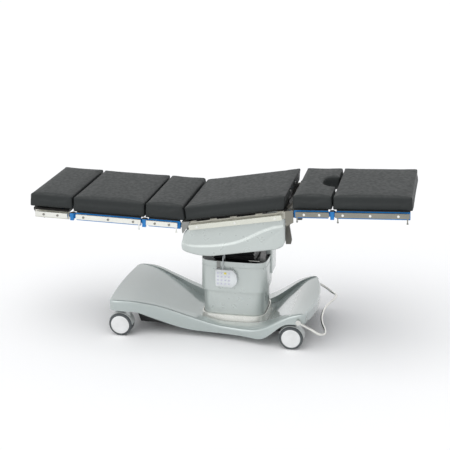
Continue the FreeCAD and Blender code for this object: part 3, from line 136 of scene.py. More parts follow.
RIM_RINGS = (0.0010, 0.0028, 0.0055)
GRID_STEP = 0.005
GRID_FROM_RIM = 0.0085


# The camera, solved from the photograph
CAMERA_LENS = 90.66
CAMERA_PLACE = (1.122, -5.455, 2.351)
CAMERA_TILT = 72.0
CAMERA_TURN = 11.68

# The hand control's lead
LEAD_ROUTE = [
    (0.0140, -0.1490, 0.3525),
    (0.0140, -0.1490, 0.4102),
    (0.0140, -0.1352, 0.4240),
    (0.0140, -0.1158, 0.4240),
    (0.0140, -0.1020, 0.4102),
    (0.0140, -0.1020, 0.3915),
]
LEAD_DIAMETER = 0.006

# Where a paint changes on one piece
BOARD_EDGE = 0.2495
# Height on the flat table above which a section's side beams are painted dark, as painted shade
# under the pads
BEAM_SHADE_LINE = 0.0225
SCREW_FACE = 0.2972
YELLOW_KEY = (0.028, 0.334)
YELLOW_HALF = (0.007, 0.006)
DISC_RADIUS = 0.0480

# The marks on the hand control's keys, in millimetres from the first key
MM = 0.001
KEY_FACE = -0.1580
MARK_PROUD = 0.0001
FIRST_KEY = (-10, 334)
KEY_PITCH = 19
KEY_ROWS = 4

# Light on the object, and what the camera sees behind it
WORLD_STRENGTH = 0.66
WORLD_TINT = (0.97, 0.98, 1.0, 1.0)
WHITE = (1.0, 1.0, 1.0, 1.0)


def add_piece(name, data):
    piece = bpy.data.objects.new(name, data)
    scene.collection.objects.link(piece)
    return piece


def smooth_shaded(mesh):
    for polygon in mesh.polygons:
        polygon.use_smooth = True


def camera():
    data = bpy.data.cameras.new("camera")
    data.sensor_width = 36.0
    data.lens = CAMERA_LENS
    eye = add_piece("camera", data)
    eye.location = CAMERA_PLACE
    eye.rotation_euler = (math.radians(CAMERA_TILT), 0.0, math.radians(CAMERA_TURN))
    scene.camera = eye


def lead_mesh(thickness):
    """The lead's route as a mesh: a tube, or with no thickness the points along its middle."""
    curve = bpy.data.curves.new("lead_route", "CURVE")
    curve.dimensions = "3D"
    curve.bevel_depth = thickness / 2
    curve.bevel_resolution = 5
    curve.resolution_u = 24
    curve.use_fill_caps = True
    line = curve.splines.new("NURBS")
    line.points.add(len(LEAD_ROUTE) - 1)
    for point, place in zip(line.points, LEAD_ROUTE):
        point.co = (*place, 1.0)
    line.order_u = 3
    line.use_endpoint_u = True
    route = add_piece("lead_route", curve)
    ready = bpy.context.evaluated_depsgraph_get()
    mesh = bpy.data.meshes.new_from_object(route.evaluated_get(ready))
    bpy.data.objects.remove(route)
    bpy.data.curves.remove(curve)
    return mesh


def control_lead():
    """The hand control's lead: out of its top, over the rim and down into the gland."""
    tube = lead_mesh(LEAD_DIAMETER)
    smooth_shaded(tube)
    lead = add_piece("hand_lead", tube)
    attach(lead, "column_upper")
    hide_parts("control_lead")
    [tuple(vertex.co) for vertex in lead_mesh(0.0).vertices]
    return lead


camera()
lead = control_lead()


# Materials

def srgb(text):
    """A hexadecimal colour as written on screen, in linear values."""
    parts = [int(text[i : i + 2], 16) / 255 for i in (0, 2, 4)]
    return [c / 12.92 if c <= 0.04045 else ((c + 0.055) / 1.055) ** 2.4 for c in parts]


def shade(colour, factor):
    return (*[min(1.0, c * factor) for c in colour], 1.0)


class Paint:
    """A material's nodes, built up one step at a time."""

    def __init__(self, name):
        self.material = bpy.data.materials.new(name)
        self.material.use_nodes = True
        self.tree = self.material.node_tree
        self.shader = self.tree.nodes["Principled BSDF"]
        self.coords = self.add("ShaderNodeTexCoord").outputs["Object"]

    def add(self, kind, **values):
        made = self.tree.nodes.new(kind)
        for key, value in values.items():
            if hasattr(made, key):
                setattr(made, key, value)
            else:
                made.inputs[key.replace("_", " ")].default_value = value
        return made

    def link(self, output, socket):
        self.tree.links.new(output, socket)

    def stretched(self, scale):
        mapping = self.add("ShaderNodeMapping")
        mapping.inputs["Scale"].default_value = scale
        self.link(self.coords, mapping.inputs["Vector"])
        return mapping.outputs["Vector"]

    def noise(self, scale, detail=3.0, stretch=(1, 1, 1), rough=0.5):
        made = self.add("ShaderNodeTexNoise", Scale=scale, Detail=detail, Roughness=rough)
        self.link(self.stretched(stretch), made.inputs["Vector"])
        return made.outputs["Fac"]

    def cells(self, scale, feature="F1", stretch=(1, 1, 1)):
        made = self.add("ShaderNodeTexVoronoi", Scale=scale)
        made.feature = feature
        self.link(self.stretched(stretch), made.inputs["Vector"])
        return made.outputs["Distance"]

    def ramp(self, value, low, high, to_low=0.0, to_high=1.0):
        made = self.add("ShaderNodeMapRange")
        made.interpolation_type = "SMOOTHSTEP"
        limits = {"From Min": low, "From Max": high, "To Min": to_low, "To Max": to_high}
        for key, number in limits.items():
            made.inputs[key].default_value = number
        self.link(value, made.inputs["Value"])
        return made.outputs["Result"]

    def math(self, operation, a, b=None):
        made = self.add("ShaderNodeMath")
        made.operation = operation
        for socket, value in zip(made.inputs, (a, b)):
            if value is None:
                continue
            if isinstance(value, (int, float)):
                socket.default_value = value
            else:
                self.link(value, socket)
        return made.outputs["Value"]

    def mix(self, factor, a, b):
        made = self.add("ShaderNodeMix")
        made.data_type = "RGBA"
        self.link(factor, made.inputs["Factor"])
        for key, value in (("A", a), ("B", b)):
            socket = [s for s in made.inputs if s.name == key and s.type == "RGBA"][0]
            if isinstance(value, (tuple, list)):
                socket.default_value = value
            else:
                self.link(value, socket)
        return [s for s in made.outputs if s.type == "RGBA"][0]

    def axis(self, name):
        split = self.add("ShaderNodeSeparateXYZ")
        self.link(self.coords, split.inputs["Vector"])
        return split.outputs[name]

    def height(self, place):
        """Height over the flat table, for a section that lies at a slant."""
        row = place.inverted()[2]
        dot = self.add("ShaderNodeVectorMath", operation="DOT_PRODUCT")
        self.link(self.coords, dot.inputs[0])
        dot.inputs[1].default_value = row[:3]
        return self.math("ADD", dot.outputs["Value"], row[3])

    def colour(self, output):
        self.link(output, self.shader.inputs["Base Color"])

    def rough(self, value, low, high):
        self.link(self.ramp(value, 0.3, 0.7, low, high), self.shader.inputs["Roughness"])

    def relief(self, *layers, edge=0.0006):
        """Bump layers (height, distance, strength) over a normal softened at the edges."""
        if edge:
            bevel = self.add("ShaderNodeBevel", samples=8)
            bevel.inputs["Radius"].default_value = edge
            normal = bevel.outputs["Normal"]
        else:
            normal = self.add("ShaderNodeNewGeometry").outputs["Normal"]
        for height, distance, strength in layers:
            bump = self.add("ShaderNodeBump")
            bump.inputs["Distance"].default_value = distance
            bump.inputs["Strength"].default_value = strength
            self.link(height, bump.inputs["Height"])
            self.link(normal, bump.inputs["Normal"])
            normal = bump.outputs["Normal"]
        self.link(normal, self.shader.inputs["Normal"])

    def set(self, **values):
        for key, value in values.items():
            self.shader.inputs[key.replace("_", " ")].default_value = value


def leatherette():
    """The pads' antistatic cover: charcoal, finely grained, with seams and small creases."""
    p = Paint("charcoal_cover")
    base = srgb("2f3232")
    cloud = p.noise(5.0, 4.0)
    p.colour(p.mix(p.ramp(cloud, 0.32, 0.7), shade(base, 0.95), shade(base, 1.05)))
    edge = p.add("ShaderNodeAttribute", attribute_name="edge")
    split = p.add("ShaderNodeSeparateXYZ")
    p.link(edge.outputs["Vector"], split.inputs["Vector"])
    seam = p.ramp(p.math("ABSOLUTE", split.outputs["X"]), 0.0, 0.0011)
    near = p.ramp(split.outputs["Y"], 0.0, 0.075, 1.0, 0.0)
    pleats = p.noise(34.0, 3.0, (1.0, 1.0, 0.22))
    pucker = p.math("MULTIPLY", pleats, near)
    drape = p.noise(9.0, 4.0, (1.0, 0.45, 1.0))
    grain = p.cells(900.0)
    p.rough(p.noise(60.0, 3.0), 0.46, 0.6)
    p.relief(
        (seam, 0.0009, 0.6), (pucker, 0.003, 0.15), (drape, 0.0022, 0.08),
        (grain, 0.00002, 0.03), edge=0.0,
    )
    p.set(Specular_IOR_Level=0.22)
    return p.material


def brushed(name, colour, rough=0.27, stretch=(2.0, 60.0, 60.0), strength=0.25, metallic=1.0):
    p = Paint(name)
    lines = p.noise(30.0, 4.0, stretch)
    cloud = p.noise(9.0, 3.0)
    p.colour(p.mix(p.ramp(cloud, 0.3, 0.7), shade(colour, 0.93), shade(colour, 1.04)))
    p.rough(lines, rough - 0.06, rough + 0.1)
    p.relief((lines, 0.00012, strength), edge=0.0007)
    p.set(Metallic=metallic)
    return p.material


def moulded(name, colour, rough=0.3, coat=0.6, metallic=0.3):
    """Lacquered moulding: metallic silver under a clear surface, faintly uneven."""
    p = Paint(name)
    cloud = p.noise(2.2, 2.0)
    p.colour(p.mix(p.ramp(cloud, 0.3, 0.7), shade(colour, 0.98), shade(colour, 1.02)))
    p.rough(p.noise(30.0, 3.0), rough - 0.03, rough + 0.04)
    wave = p.noise(6.0, 2.0)
    p.relief((wave, 0.0010, 0.05), edge=0.0)
    p.set(Metallic=metallic, Coat_Weight=coat, Coat_Roughness=0.06)
    return p.material


def plain(name, colour, rough=0.5, grain=500.0, strength=0.15, metallic=0.0, coat=0.0):
    p = Paint(name)
    cloud = p.noise(14.0, 3.0)
    p.colour(p.mix(p.ramp(cloud, 0.3, 0.7), shade(colour, 0.9), shade(colour, 1.08)))
    p.rough(p.noise(70.0, 3.0), rough - 0.06, rough + 0.07)
    p.relief((p.noise(grain, 2.0), 0.0002, strength), edge=0.0008)
    p.set(Metallic=metallic, Coat_Weight=coat)
    return p.material


def side_frame(name, outer, rough, metallic, place):
    """Section frames: finished side beams, and a dark board and cross tubes between them; the
    beams' top strip is painted in the board's dark colour as painted shade under the pads.
    """
    p = Paint(name)
    reach = p.math("ABSOLUTE", p.axis("Y"))
    beside = p.math("GREATER_THAN", reach, BOARD_EDGE)
    # Below the shade line the side beams keep their finish; above it their top strip takes the
    # board's dark colour, as painted shade under the pads' overhang
    below = p.math("LESS_THAN", p.height(place), BEAM_SHADE_LINE)
    at_side = p.math("MULTIPLY", beside, below)
    cloud = p.noise(11.0, 3.0)
    finished = p.mix(p.ramp(cloud, 0.3, 0.7), shade(outer, 0.9), shade(outer, 1.08))
    board = srgb("2c2a28")
    dark = p.mix(p.ramp(cloud, 0.3, 0.7), shade(board, 0.85), shade(board, 1.1))
    p.colour(p.mix(at_side, dark, finished))
    p.link(p.math("MULTIPLY", at_side, metallic), p.shader.inputs["Metallic"])
    p.link(p.ramp(at_side, 0.0, 1.0, 0.6, rough), p.shader.inputs["Roughness"])
    p.relief((p.noise(700.0, 2.0), 0.00015, 0.2), edge=0.0008)
    return p.material


def rail(name, bar, screw):
    """An accessory rail, lengthwise brushed, with screw heads of another finish."""
    p = Paint(name)
    lines = p.noise(30.0, 4.0, (2.0, 60.0, 60.0))
    head = p.math("GREATER_THAN", p.math("ABSOLUTE", p.axis("Y")), SCREW_FACE)
    cloud = p.noise(6.0, 3.0)
    body = p.mix(p.ramp(cloud, 0.3, 0.7), shade(bar, 0.92), shade(bar, 1.04))
    p.colour(p.mix(head, body, shade(screw, 1.0)))
    p.rough(lines, 0.24, 0.38)
    p.relief((lines, 0.0001, 0.2), edge=0.0009)
    p.set(Metallic=0.85)
    return p.material


def keys_paint():
    """Pale keys with one yellow key at the top."""
    p = Paint("key_film")
    cloud = p.noise(80.0, 2.0)
    pale = p.mix(p.ramp(cloud, 0.3, 0.7), shade(srgb("dcdde9"), 0.98), shade(srgb("e0e1ec"), 1.0))
    near = []
    for name, middle, half in zip("XZ", YELLOW_KEY, YELLOW_HALF):
        away = p.math("ABSOLUTE", p.math("SUBTRACT", p.axis(name), middle))
        near.append(p.math("LESS_THAN", away, half))
    p.colour(p.mix(p.math("MULTIPLY", *near), pale, shade(srgb("efe24a"), 1.0)))
    p.rough(p.noise(200.0, 2.0), 0.38, 0.5)
    p.relief((p.noise(900.0, 2.0), 0.00005, 0.1), edge=0.0008)
    return p.material


def wheel_paint(name, centre):
    """White disc covers inside a dark grey tyre, told apart by the distance from the axle."""
    p = Paint(name)
    dx = p.math("SUBTRACT", p.axis("X"), centre.x)
    dz = p.math("SUBTRACT", p.axis("Z"), centre.z)
    square = p.math("ADD", p.math("MULTIPLY", dx, dx), p.math("MULTIPLY", dz, dz))
    radius = p.math("SQRT", square)
    tyre = p.ramp(radius, DISC_RADIUS - 0.0004, DISC_RADIUS + 0.0004)
    cloud = p.noise(30.0, 3.0)
    white = p.mix(p.ramp(cloud, 0.3, 0.7), shade(srgb("e6e7e6"), 0.97), shade(srgb("eceded"), 1.0))
    grey = srgb("4b5052")
    rubber = p.mix(p.ramp(cloud, 0.3, 0.7), shade(grey, 0.88), shade(grey, 1.1))
    p.colour(p.mix(tyre, white, rubber))
    p.link(p.ramp(tyre, 0.0, 1.0, 0.34, 0.62), p.shader.inputs["Roughness"])
    groove = p.ramp(p.math("ABSOLUTE", p.math("SUBTRACT", radius, DISC_RADIUS)), 0.0, 0.0014)
    ring = p.ramp(p.math("ABSOLUTE", p.math("SUBTRACT", radius, DISC_RADIUS * 0.9)), 0.0, 0.0012)
    grain = p.noise(300.0, 2.0)
    p.relief((groove, 0.0008, 0.8), (ring, 0.0004, 0.5), (grain, 0.0002, 0.1), edge=0.0008)
    return p.material


cover = leatherette()
# One stainless steel in three copies: the head and back rails are painted lighter as painted
# reflection, the pelvic and leg rails darker as painted shade, and the seat rail a little darker
# than the lighter copy
rail_painted_reflection = rail("rail_painted_reflection", srgb("e9e9e2"), srgb("8c8a84"))
seat_rail = rail("seat_rail", srgb("dedfd4"), srgb("e6e6e2"))
rail_painted_shade = rail("rail_painted_shade", srgb("8f8e86"), srgb("eeeeea"))
skirt_steel = brushed("skirt_steel", srgb("ecece6"), 0.3, (60.0, 60.0, 3.0), 0.15, metallic=0.4)
body_grey = moulded("column_silver", srgb("c6cdca"))
cover_grey = moulded("cover_silver", srgb("c3cac7"))
base_grey = moulded("base_silver", srgb("b2bbb9"), rough=0.2, coat=1.0)
chassis_black = plain("chassis_black", srgb("1e1f20"), 0.55, coat=0.1)
blue_back = side_frame("blue_back_section", srgb("1c7fc8"), 0.4, 0.1, PLACE_BACK)
blue_legs = side_frame("blue_leg_section", srgb("1c7fc8"), 0.4, 0.1, PLACE_LEGS)
head_steel = side_frame("steel_section", srgb("c9c8bf"), 0.34, 0.9, PLACE_BACK)
seat_steel = side_frame("seat_section", srgb("c4c2b8"), 0.4, 0.8, PLACE_SEAT)
cast_grey = plain("cast_grey", srgb("8f908d"), 0.42, 260.0, 0.25, 0.6)
dark_steel = brushed("dark_steel", srgb("8a887f"), 0.36, (40.0, 40.0, 40.0))
drive_grey = plain("drive_grey", srgb("6d6b64"), 0.5, 200.0, 0.2)
eyelet_steel = brushed("eyelet_steel", srgb("8a8c8a"), 0.4, (30.0, 30.0, 30.0))
mast_metal = brushed("mast_metal", srgb("c2c4c6"), 0.3, (50.0, 50.0, 2.0))
chrome = brushed("chrome", srgb("dcdcd8"), 0.12, (20.0, 20.0, 20.0), 0.05)
rubber = plain("well_rubber", srgb("141517"), 0.36, 300.0, 0.2, coat=0.4)
dark_plastic = plain("dark_plastic", srgb("252627"), 0.5, 420.0, 0.2)
white_plastic = plain("white_plastic", srgb("e4e8e9"), 0.36, 500.0, 0.06)
castor_white = plain("castor_white", srgb("c9cdcc"), 0.42, 420.0, 0.1)
lead_skin = plain("lead_skin", srgb("c3c8c9"), 0.4, 600.0, 0.08)
key_film = keys_paint()
icon_ink = plain("icon_ink", srgb("8d90a4"), 0.5, 900.0, 0.05)

PAINTS = {
    "chassis": chassis_black,
    "base_cover": base_grey,
    "column_skirt": skirt_steel,
    "inner_sleeve": skirt_steel,
    "mast_lower_tube": mast_metal,
    "mast_middle_tube": mast_metal,
    "mast_upper_tube": mast_metal,
    "lift_spindle_body": mast_metal,
    "lift_spindle_stage": mast_metal,
    "lift_spindle_rod": mast_metal,
    "battery_pack": dark_plastic,
    "control_unit": dark_plastic,
    "mains_inlet": dark_plastic,
    "brake_bar": chrome,
    "lower_shroud": body_grey,
    "upper_shroud": body_grey,
    "well_gaiter": rubber,
    "column_head": chassis_black,
    "rear_panel": body_grey,
    "hand_control": white_plastic,
    "control_keys": key_film,
    "control_hanger": cast_grey,
    "lead_gland": dark_plastic,
    "well_lever": chrome,
    "tilt_cross": mast_metal,
    "tilt_drive": chassis_black,
    "seat_frame": seat_steel,
    "seat_rails": seat_rail,
    "back_hinge_brackets": cast_grey,
    "leg_hinge_brackets": dark_steel,
    "hinge_drives": drive_grey,
    "seat_eyelets": eyelet_steel,
    "head_knob": dark_plastic,
    "head_frame": head_steel,
}
for section in ("lower_back", "upper_back"):
    PAINTS[f"{section}_frame"] = blue_back
for section in ("pelvic", "leg"):
    PAINTS[f"{section}_frame"] = blue_legs
# Head and back rails get the copy painted lighter as painted reflection, pelvic and leg rails the
# copy painted darker as painted shade
for section in ("lower_back", "upper_back", "head"):
    PAINTS[f"{section}_rails"] = rail_painted_reflection
for section in ("pelvic", "leg"):
    PAINTS[f"{section}_rails"] = rail_painted_shade


def paint(piece, material):
    piece.data.materials.clear()
    piece.data.materials.append(material)


for node, material in PAINTS.items():
    paint(nodes[node], material)
paint(lead, lead_skin)

for end in ("left", "right"):
    for side in ("front", "back"):
        paint(nodes[f"castor_housing_{end}_{side}"], castor_white)
        wheels = f"castor_wheels_{end}_{side}"
        low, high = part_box(wheels)
        paint(nodes[wheels], wheel_paint(f"wheel_{end}_{side}", (low + high) / 2))


# Cushions

def rounded_plan(x0, x1, half, corner, notch):
    """The pad's outline in plan, with the rounded cut-out of the pelvic pad where it has one."""
    points = []
    for cx, cy, start in (
        (x1 - corner, half - corner, 0.0),
        (x0 + corner, half - corner, 90.0),
        (x0 + corner, -half + corner, 180.0),
        (x1 - corner, -half + corner, 270.0),
    ):
        for k in range(CORNER_STEPS + 1):
            turn = math.radians(start + 90.0 * k / CORNER_STEPS)
            points.append((cx + corner * math.cos(turn), cy + corner * math.sin(turn)))
    if notch:
        flat = NOTCH_HALF - NOTCH_DEPTH
        for side in (-1, 1):
            for k in range(NOTCH_STEPS + 1):
                swept = 90.0 * k / NOTCH_STEPS
                turn = math.radians(swept if side > 0 else 90.0 - swept)
                px = x1 - NOTCH_DEPTH * math.cos(turn)
                points.append((px, side * (flat + NOTCH_DEPTH * math.sin(turn))))
    return points


def pad_form(x0, x1, z0, z1, notch):
    plan = rounded_plan(x0, x1, HALF_WIDTH - PAD_SHRINK, PAD_CORNER, notch)
    bm = bmesh.new()
    floor_ring = [bm.verts.new((x, y, z0)) for x, y in plan]
    face = bm.faces.new(floor_ring)
    lifted = bmesh.ops.extrude_face_region(bm, geom=[face])
    top = [v for v in lifted["geom"] if isinstance(v, bmesh.types.BMVert)]
    bmesh.ops.translate(bm, verts=top, vec=(0, 0, z1 - z0))
    bmesh.ops.recalc_face_normals(bm, faces=bm.faces)
    rim = [e for e in bm.edges if all(abs(v.co.z - z1) < 1e-6 for v in e.verts)]
    bmesh.ops.bevel(bm, geom=rim, offset=PAD_EDGE, segments=4, profile=0.6, affect="EDGES")
    bmesh.ops.triangulate(bm, faces=bm.faces)
    return bm


def apply_modifiers(piece):
    graph = bpy.context.evaluated_depsgraph_get()
    mesh = bpy.data.meshes.new_from_object(piece.evaluated_get(graph))
    piece.modifiers.clear()
    old = piece.data
    piece.data = mesh
    bpy.data.meshes.remove(old)


def puff(piece, z0):
    """Inflate the cover a little over the foam, with its underside held flat."""
    rest = [v.co.copy() for v in piece.data.vertices]
    held = piece.vertex_groups.new(name="held")
    held.add([v.index for v in piece.data.vertices if v.co.z < z0 + HELD_BELOW], 1.0, "REPLACE")
    cloth = piece.modifiers.new("cover", "CLOTH")
    settings = cloth.settings
    settings.quality = 4
    settings.use_pressure = True
    settings.uniform_pressure_force = PUFF_PRESSURE
    settings.effector_weights.gravity = 0.0
    settings.vertex_group_mass = "held"
    for frame_number in range(1, PUFF_FRAMES + 1):
        scene.frame_set(frame_number)
    graph = bpy.context.evaluated_depsgraph_get()
    moved = piece.evaluated_get(graph).to_mesh()
    places = [v.co.copy() for v in moved.vertices]
    piece.evaluated_get(graph).to_mesh_clear()
    piece.modifiers.clear()
    scene.frame_set(1)
    for vertex, start, end in zip(piece.data.vertices, rest, places):
        step = end - start
        if step.length > PUFF_CAP:
            step = step.normalized() * PUFF_CAP
        vertex.co = start + step


def notch_distance(x, y, x1):
    """How far a point of the pelvic pad lies from the edge of its cut-out."""
    flat = NOTCH_HALF - NOTCH_DEPTH
    return math.hypot(x1 - x, max(0.0, abs(y) - flat)) - NOTCH_DEPTH


def shape_pad(mesh, x0, x1, z0, z1, lean, notch):
    """Crown the top, pull the sides in between the corners and lean the right end."""
    seams = mesh.attributes.new("edge", "FLOAT_VECTOR", "POINT")
    values = []
    middle = (x0 + x1) / 2
    half_long = (x1 - x0) / 2
    for vertex in mesh.vertices:
        x, y, z = vertex.co
        high = (z - z0) / (z1 - z0)
        along = (x - middle) / half_long
        over = y / HALF_WIDTH
        from_end = min(half_long - abs(x - middle), HALF_WIDTH - abs(y))
        if notch:
            from_end = min(from_end, max(0.0, notch_distance(x, y, x1)))
        crown = (1 - min(1.0, abs(along)) ** 4) * (1 - min(1.0, abs(over)) ** 6)
        dip = CROWN * (1 - crown) * max(0.0, high) ** 3
        belly = math.sin(math.pi * min(1.0, max(0.0, high)))
        pull_y = SIDE_PULL * (1 - along * along) * abs(over) ** 10 * (1 - 0.6 * belly)
        pull_x = SIDE_PULL * (1 - over * over) * abs(along) ** 10 * (1 - 0.6 * belly)
        to_corner = math.hypot(half_long - abs(x - middle), HALF_WIDTH - abs(y))
        seam_top = z - (z1 - SEAM_BELOW_TOP)
        seam_corner = (half_long - abs(x - middle)) - (HALF_WIDTH - abs(y))
        on_side = from_end < SIDE_REACH
        seam = seam_top if on_side else NO_SEAM
        if on_side and high < 0.85 and to_corner < CORNER_REACH:
            seam = seam if abs(seam) < abs(seam_corner) else seam_corner
        values += [seam, to_corner, from_end]
        past = max(0.0, (along - LEAN_FROM) / (1 - LEAN_FROM))
        slant = lean * (1 - high) * past**2
        vertex.co.x += slant - math.copysign(pull_x, along)
        vertex.co.y -= math.copysign(pull_y, over)
        vertex.co.z -= dip
    seams.data.foreach_set("vector", values)


def cushion(section):
    x0, x1, z0, z1, lean, place = PADS[section]
    notch = section == "pelvic"
    bm = pad_form(x0 + PAD_SHRINK, x1 - PAD_SHRINK, z0, z1 - PAD_SHRINK, notch)
    mesh = bpy.data.meshes.new(f"{section}_pad")
    bm.to_mesh(mesh)
    bm.free()
    piece = add_piece(f"{section}_pad", mesh)
    remesh = piece.modifiers.new("even", "REMESH")
    remesh.mode = "VOXEL"
    remesh.voxel_size = VOXEL
    apply_modifiers(piece)
    puff(piece, z0)
    smooth = piece.modifiers.new("smooth", "SMOOTH")
    smooth.factor = 0.5
    smooth.iterations = 1
    apply_modifiers(piece)
    shape_pad(piece.data, x0, x1, z0, z1, lean, notch)
    smooth_shaded(piece.data)
    paint(piece, cover)
    piece.data.transform(place)
    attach(piece, section)
    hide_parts(f"{section}_cushion")
    return piece


pads = {section: cushion(section) for section in PADS}

SQUASHES = {
    "lower_back": ("back_hinge", 0.62),
    "upper_back": ("upper_back_hinge", 0.80),
    "head": ("head_hinge", 0.80),
    "pelvic": ("pelvic_hinge", 0.94),
    "leg": ("leg_hinge", 0.88),
}
for section, (joint, keep) in SQUASHES.items():
    x0, x1, z0, z1, lean, place = PADS[section]
    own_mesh(pads[section])


# Side covers

def between(p, q, r, u, t):
    """A cubic through q and r that heads for p and u."""
    return 0.5 * (
        2 * q + (r - p) * t + (2 * p - 5 * q + 4 * r - u) * t**2 + (3 * q - p - 3 * r + u) * t**3
    )


def smooth_line(points, steps):
    """A soft line through the points, sampled between them."""
    padded = [points[0]] + list(points) + [points[-1]]
    line = []
    for a, b, c, d in zip(padded, padded[1:], padded[2:], padded[3:]):
        for k in range(steps):
            line.append(tuple(between(p, q, r, u, k / steps) for p, q, r, u in zip(a, b, c, d)))
    line.append(tuple(points[-1]))
    return line


def straight(a, b, count):
    return [tuple(p + (q - p) * k / count for p, q in zip(a, b)) for k in range(1, count)]


def cover_outline():
    left = smooth_line(COVER_LEFT, 6)
    right = smooth_line(COVER_RIGHT, 5)
    ring = left + straight(left[-1], right[0], 60) + right
    ring += straight(right[-1], COVER_TOP_RIGHT, 20) + [COVER_TOP_RIGHT]
    return ring + straight(COVER_TOP_RIGHT, left[0], 90)


def distance_to(line, x, z):
    best = 1.0
    for (ax, az), (bx, bz) in zip(line, line[1:]):
        ux, uz = bx - ax, bz - az
        t = max(0.0, min(1.0, ((x - ax) * ux + (z - az) * uz) / (ux * ux + uz * uz)))
        best = min(best, math.hypot(x - ax - t * ux, z - az - t * uz))
    return best


def line_height(line, x):
    for (ax, az), (bx, bz) in zip(line, line[1:]):
        if ax <= x <= bx:
            return az + (bz - az) * (x - ax) / (bx - ax)
    return line[0][1] if x < line[0][0] else line[-1][1]


def ease(value):
    t = max(0.0, min(1.0, value))
    return t * t * (3 - 2 * t)


def dent(x, z):
    """The shallow teardrop recess at the leg end, deepest along its middle."""
    ax, az, thin = DENT_FROM
    bx, bz, wide = DENT_TO
    ux, uz = bx - ax, bz - az
    t = max(0.0, min(1.0, ((x - ax) * ux + (z - az) * uz) / (ux * ux + uz * uz)))
    away = math.hypot(x - ax - t * ux, z - az - t * uz)
    return DENT_DEPTH * (1 - ease(away / (thin + (wide - thin) * t)))


def cover_face(x, z, closed, swoosh):
    """How far out the cover's face lies at a point."""
    below = line_height(swoosh, x) - z
    swell = COVER_SWELL * ease((below + 0.004) / 0.016) - 0.0022 * ease((below - 0.012) / 0.045)
    out = COVER_OUTER + max(0.0, swell) - dent(x, z)
    near = distance_to(closed, x, z)
    if near < COVER_ROLL:
        out -= COVER_ROLL - math.sqrt(COVER_ROLL**2 - (COVER_ROLL - near) ** 2)
    return out


def inset_ring(ring, depth):
    """The outline moved inwards."""
    moved = []
    count = len(ring)
    for k, (x, z) in enumerate(ring):
        ax, az = ring[k - 1]
        bx, bz = ring[(k + 1) % count]
        ux, uz = bx - ax, bz - az
        size = math.hypot(ux, uz) or 1.0
        moved.append((x - uz / size * depth, z + ux / size * depth))
    return moved


def side_cover_mould():
    ring = cover_outline()
    closed = ring + ring[:1]
    swoosh = smooth_line(SWOOSH, 4)
    flat_points = list(ring)
    for depth in RIM_RINGS:
        flat_points += [p for p in inset_ring(ring, depth) if distance_to(closed, *p) > depth * 0.8]
    low_x, high_x = min(p[0] for p in ring), max(p[0] for p in ring)
    low_z, high_z = min(p[1] for p in ring), max(p[1] for p in ring)
    for i in range(int((high_x - low_x) / GRID_STEP) + 1):
        for k in range(int((high_z - low_z) / GRID_STEP) + 1):
            x, z = low_x + i * GRID_STEP, low_z + (k + 0.5 * (i % 2)) * GRID_STEP
            if inside(ring, x, z) and distance_to(closed, x, z) > GRID_FROM_RIM:
                flat_points.append((x, z))
    edges = [(k, (k + 1) % len(ring)) for k in range(len(ring))]
    found = geometry.delaunay_2d_cdt([Vector(p) for p in flat_points], edges, [], 1, 1e-6)
    spots, faces = found[0], found[2]
    bm = bmesh.new()
    for way in (-1, 1):
        faced = [way * cover_face(p.x, p.y, closed, swoosh) for p in spots]
        verts = [bm.verts.new((p.x, y, p.y)) for p, y in zip(spots, faced)]
        made = [bm.faces.new([verts[k] for k in face]) for face in faces]
        rim = [e for f in made for e in f.edges if e.is_boundary]
        wall = bmesh.ops.extrude_edge_only(bm, edges=list(set(rim)))
        for vertex in [g for g in wall["geom"] if isinstance(g, bmesh.types.BMVert)]:
            vertex.co.y = way * COVER_INNER
    bmesh.ops.remove_doubles(bm, verts=bm.verts, dist=1e-6)
    bmesh.ops.recalc_face_normals(bm, faces=bm.faces)
    for piece_face in bm.faces:
        piece_face.smooth = True
    mesh = bpy.data.meshes.new("side_cover_mould")
    bm.to_mesh(mesh)
    bm.free()
    mould = add_piece("side_cover_mould", mesh)
    wall_modifier = mould.modifiers.new("wall", "SOLIDIFY")
    wall_modifier.thickness = COVER_WALL
    wall_modifier.offset = cover_offset(mesh)
    apply_modifiers(mould)
    paint(mould, cover_grey)
    mould.data.transform(PLACE_SEAT)
    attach(mould, "seat")
    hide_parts("side_covers")
    return mould


def inside(ring, x, z):
    odd = False
    for (ax, az), (bx, bz) in zip(ring, ring[1:] + ring[:1]):
        if (az > z) != (bz > z) and x < ax + (z - az) / (bz - az) * (bx - ax):
            odd = not odd
    return odd


def cover_offset(mesh):
    """Which way the wall grows, so that it always goes inwards from the face."""
    outward = 0.0
    for polygon in mesh.polygons:
        if abs(polygon.normal.y) > 0.9:
            outward += polygon.normal.y * math.copysign(1.0, polygon.center.y) * polygon.area
    return -1.0 if outward > 0 else 1.0


side_cover_mould()


# Marks on the hand control's keys: plain arrows and bars

GLYPHS = {
    "up": [[(-0.0022, -0.001), (0.0022, -0.001), (0.0, 0.0026)]],
    "down": [[(-0.0022, 0.001), (0.0022, 0.001), (0.0, -0.0026)]],
    "bar": [[(-0.003, -0.0005), (0.003, -0.0005), (0.003, 0.0005), (-0.003, 0.0005)]],
    "slope": [[(-0.003, -0.0018), (0.003, 0.0008), (0.003, 0.0018), (-0.003, -0.0008)]],
    "fall": [[(-0.003, 0.0008), (0.003, -0.0018), (0.003, -0.0008), (-0.003, 0.0018)]],
}
KEY_MARKS = [
    "up", "slope", "bar", "fall", "down", "fall", "slope", "up",
    "bar", "up", "down", "slope", "fall", "down", "up", "bar",
]


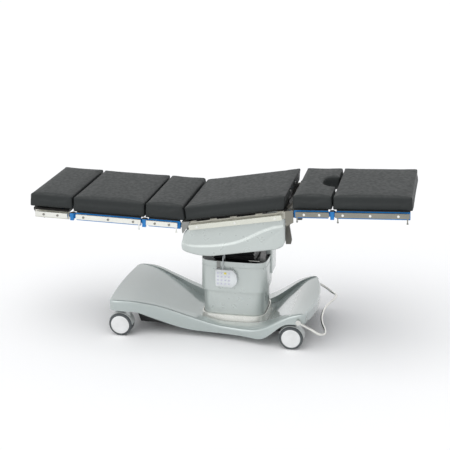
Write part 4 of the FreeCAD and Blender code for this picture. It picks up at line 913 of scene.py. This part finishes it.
def key_marks():
    bm = bmesh.new()
    for number, name in enumerate(KEY_MARKS):
        column, row = divmod(number, KEY_ROWS)
        x = (FIRST_KEY[0] + KEY_PITCH * column) * MM
        z = (FIRST_KEY[1] - KEY_PITCH * row) * MM
        for outline in GLYPHS[name]:
            verts = [bm.verts.new((x + dx, KEY_FACE - MARK_PROUD, z + dz)) for dx, dz in outline]
            bm.faces.new(verts)
    bmesh.ops.recalc_face_normals(bm, faces=bm.faces)
    mesh = bpy.data.meshes.new("key_marks")
    bm.to_mesh(mesh)
    bm.free()
    marks = add_piece("key_marks", mesh)
    thick = marks.modifiers.new("film", "SOLIDIFY")
    thick.thickness = MARK_PROUD
    apply_modifiers(marks)
    paint(marks, icon_ink)
    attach(marks, "column_upper")


key_marks()


# Floor, light and background

def floor():
    bpy.ops.mesh.primitive_plane_add(size=80.0, location=(0, 0, 0))
    plane = bpy.context.object
    plane.name = "floor"
    p = Paint("floor_pale")
    p.set(Base_Color=WHITE, Roughness=0.9, Specular_IOR_Level=0.0)
    paint(plane, p.material)


def lamp(name, place, strength, spread):
    """A wide, soft, distant light that falls evenly over floor and object."""
    data = bpy.data.lights.new(name, "SUN")
    data.energy = strength
    data.angle = math.radians(spread)
    light = add_piece(name, data)
    light.rotation_euler = (-Vector(place)).to_track_quat("-Z", "Y").to_euler()


def world():
    """A soft world light, and a white ground for the camera, for gloss and through glass."""
    made = bpy.data.worlds.new("studio")
    scene.world = made
    made.use_nodes = True
    tree = made.node_tree
    tree.nodes.clear()
    out = tree.nodes.new("ShaderNodeOutputWorld")
    path = tree.nodes.new("ShaderNodeLightPath")
    seen = path.outputs["Is Camera Ray"]
    for ray in ("Is Glossy Ray", "Is Transmission Ray"):
        either = tree.nodes.new("ShaderNodeMath")
        either.operation = "MAXIMUM"
        tree.links.new(seen, either.inputs[0])
        tree.links.new(path.outputs[ray], either.inputs[1])
        seen = either.outputs[0]
    light = tree.nodes.new("ShaderNodeBackground")
    light.inputs["Strength"].default_value = WORLD_STRENGTH
    light.inputs["Color"].default_value = WORLD_TINT
    back = tree.nodes.new("ShaderNodeBackground")
    back.inputs["Strength"].default_value = 1.0
    back.inputs["Color"].default_value = WHITE
    mix = tree.nodes.new("ShaderNodeMixShader")
    tree.links.new(seen, mix.inputs["Fac"])
    tree.links.new(light.outputs[0], mix.inputs[1])
    tree.links.new(back.outputs[0], mix.inputs[2])
    tree.links.new(mix.outputs[0], out.inputs["Surface"])


floor()
lamp("overhead", (-0.6, -0.8, 3.6), strength=1.05, spread=70)
lamp("front_left", (-3.2, -3.8, 2.6), strength=0.45, spread=45)
world()
scene.view_settings.view_transform = "Standard"
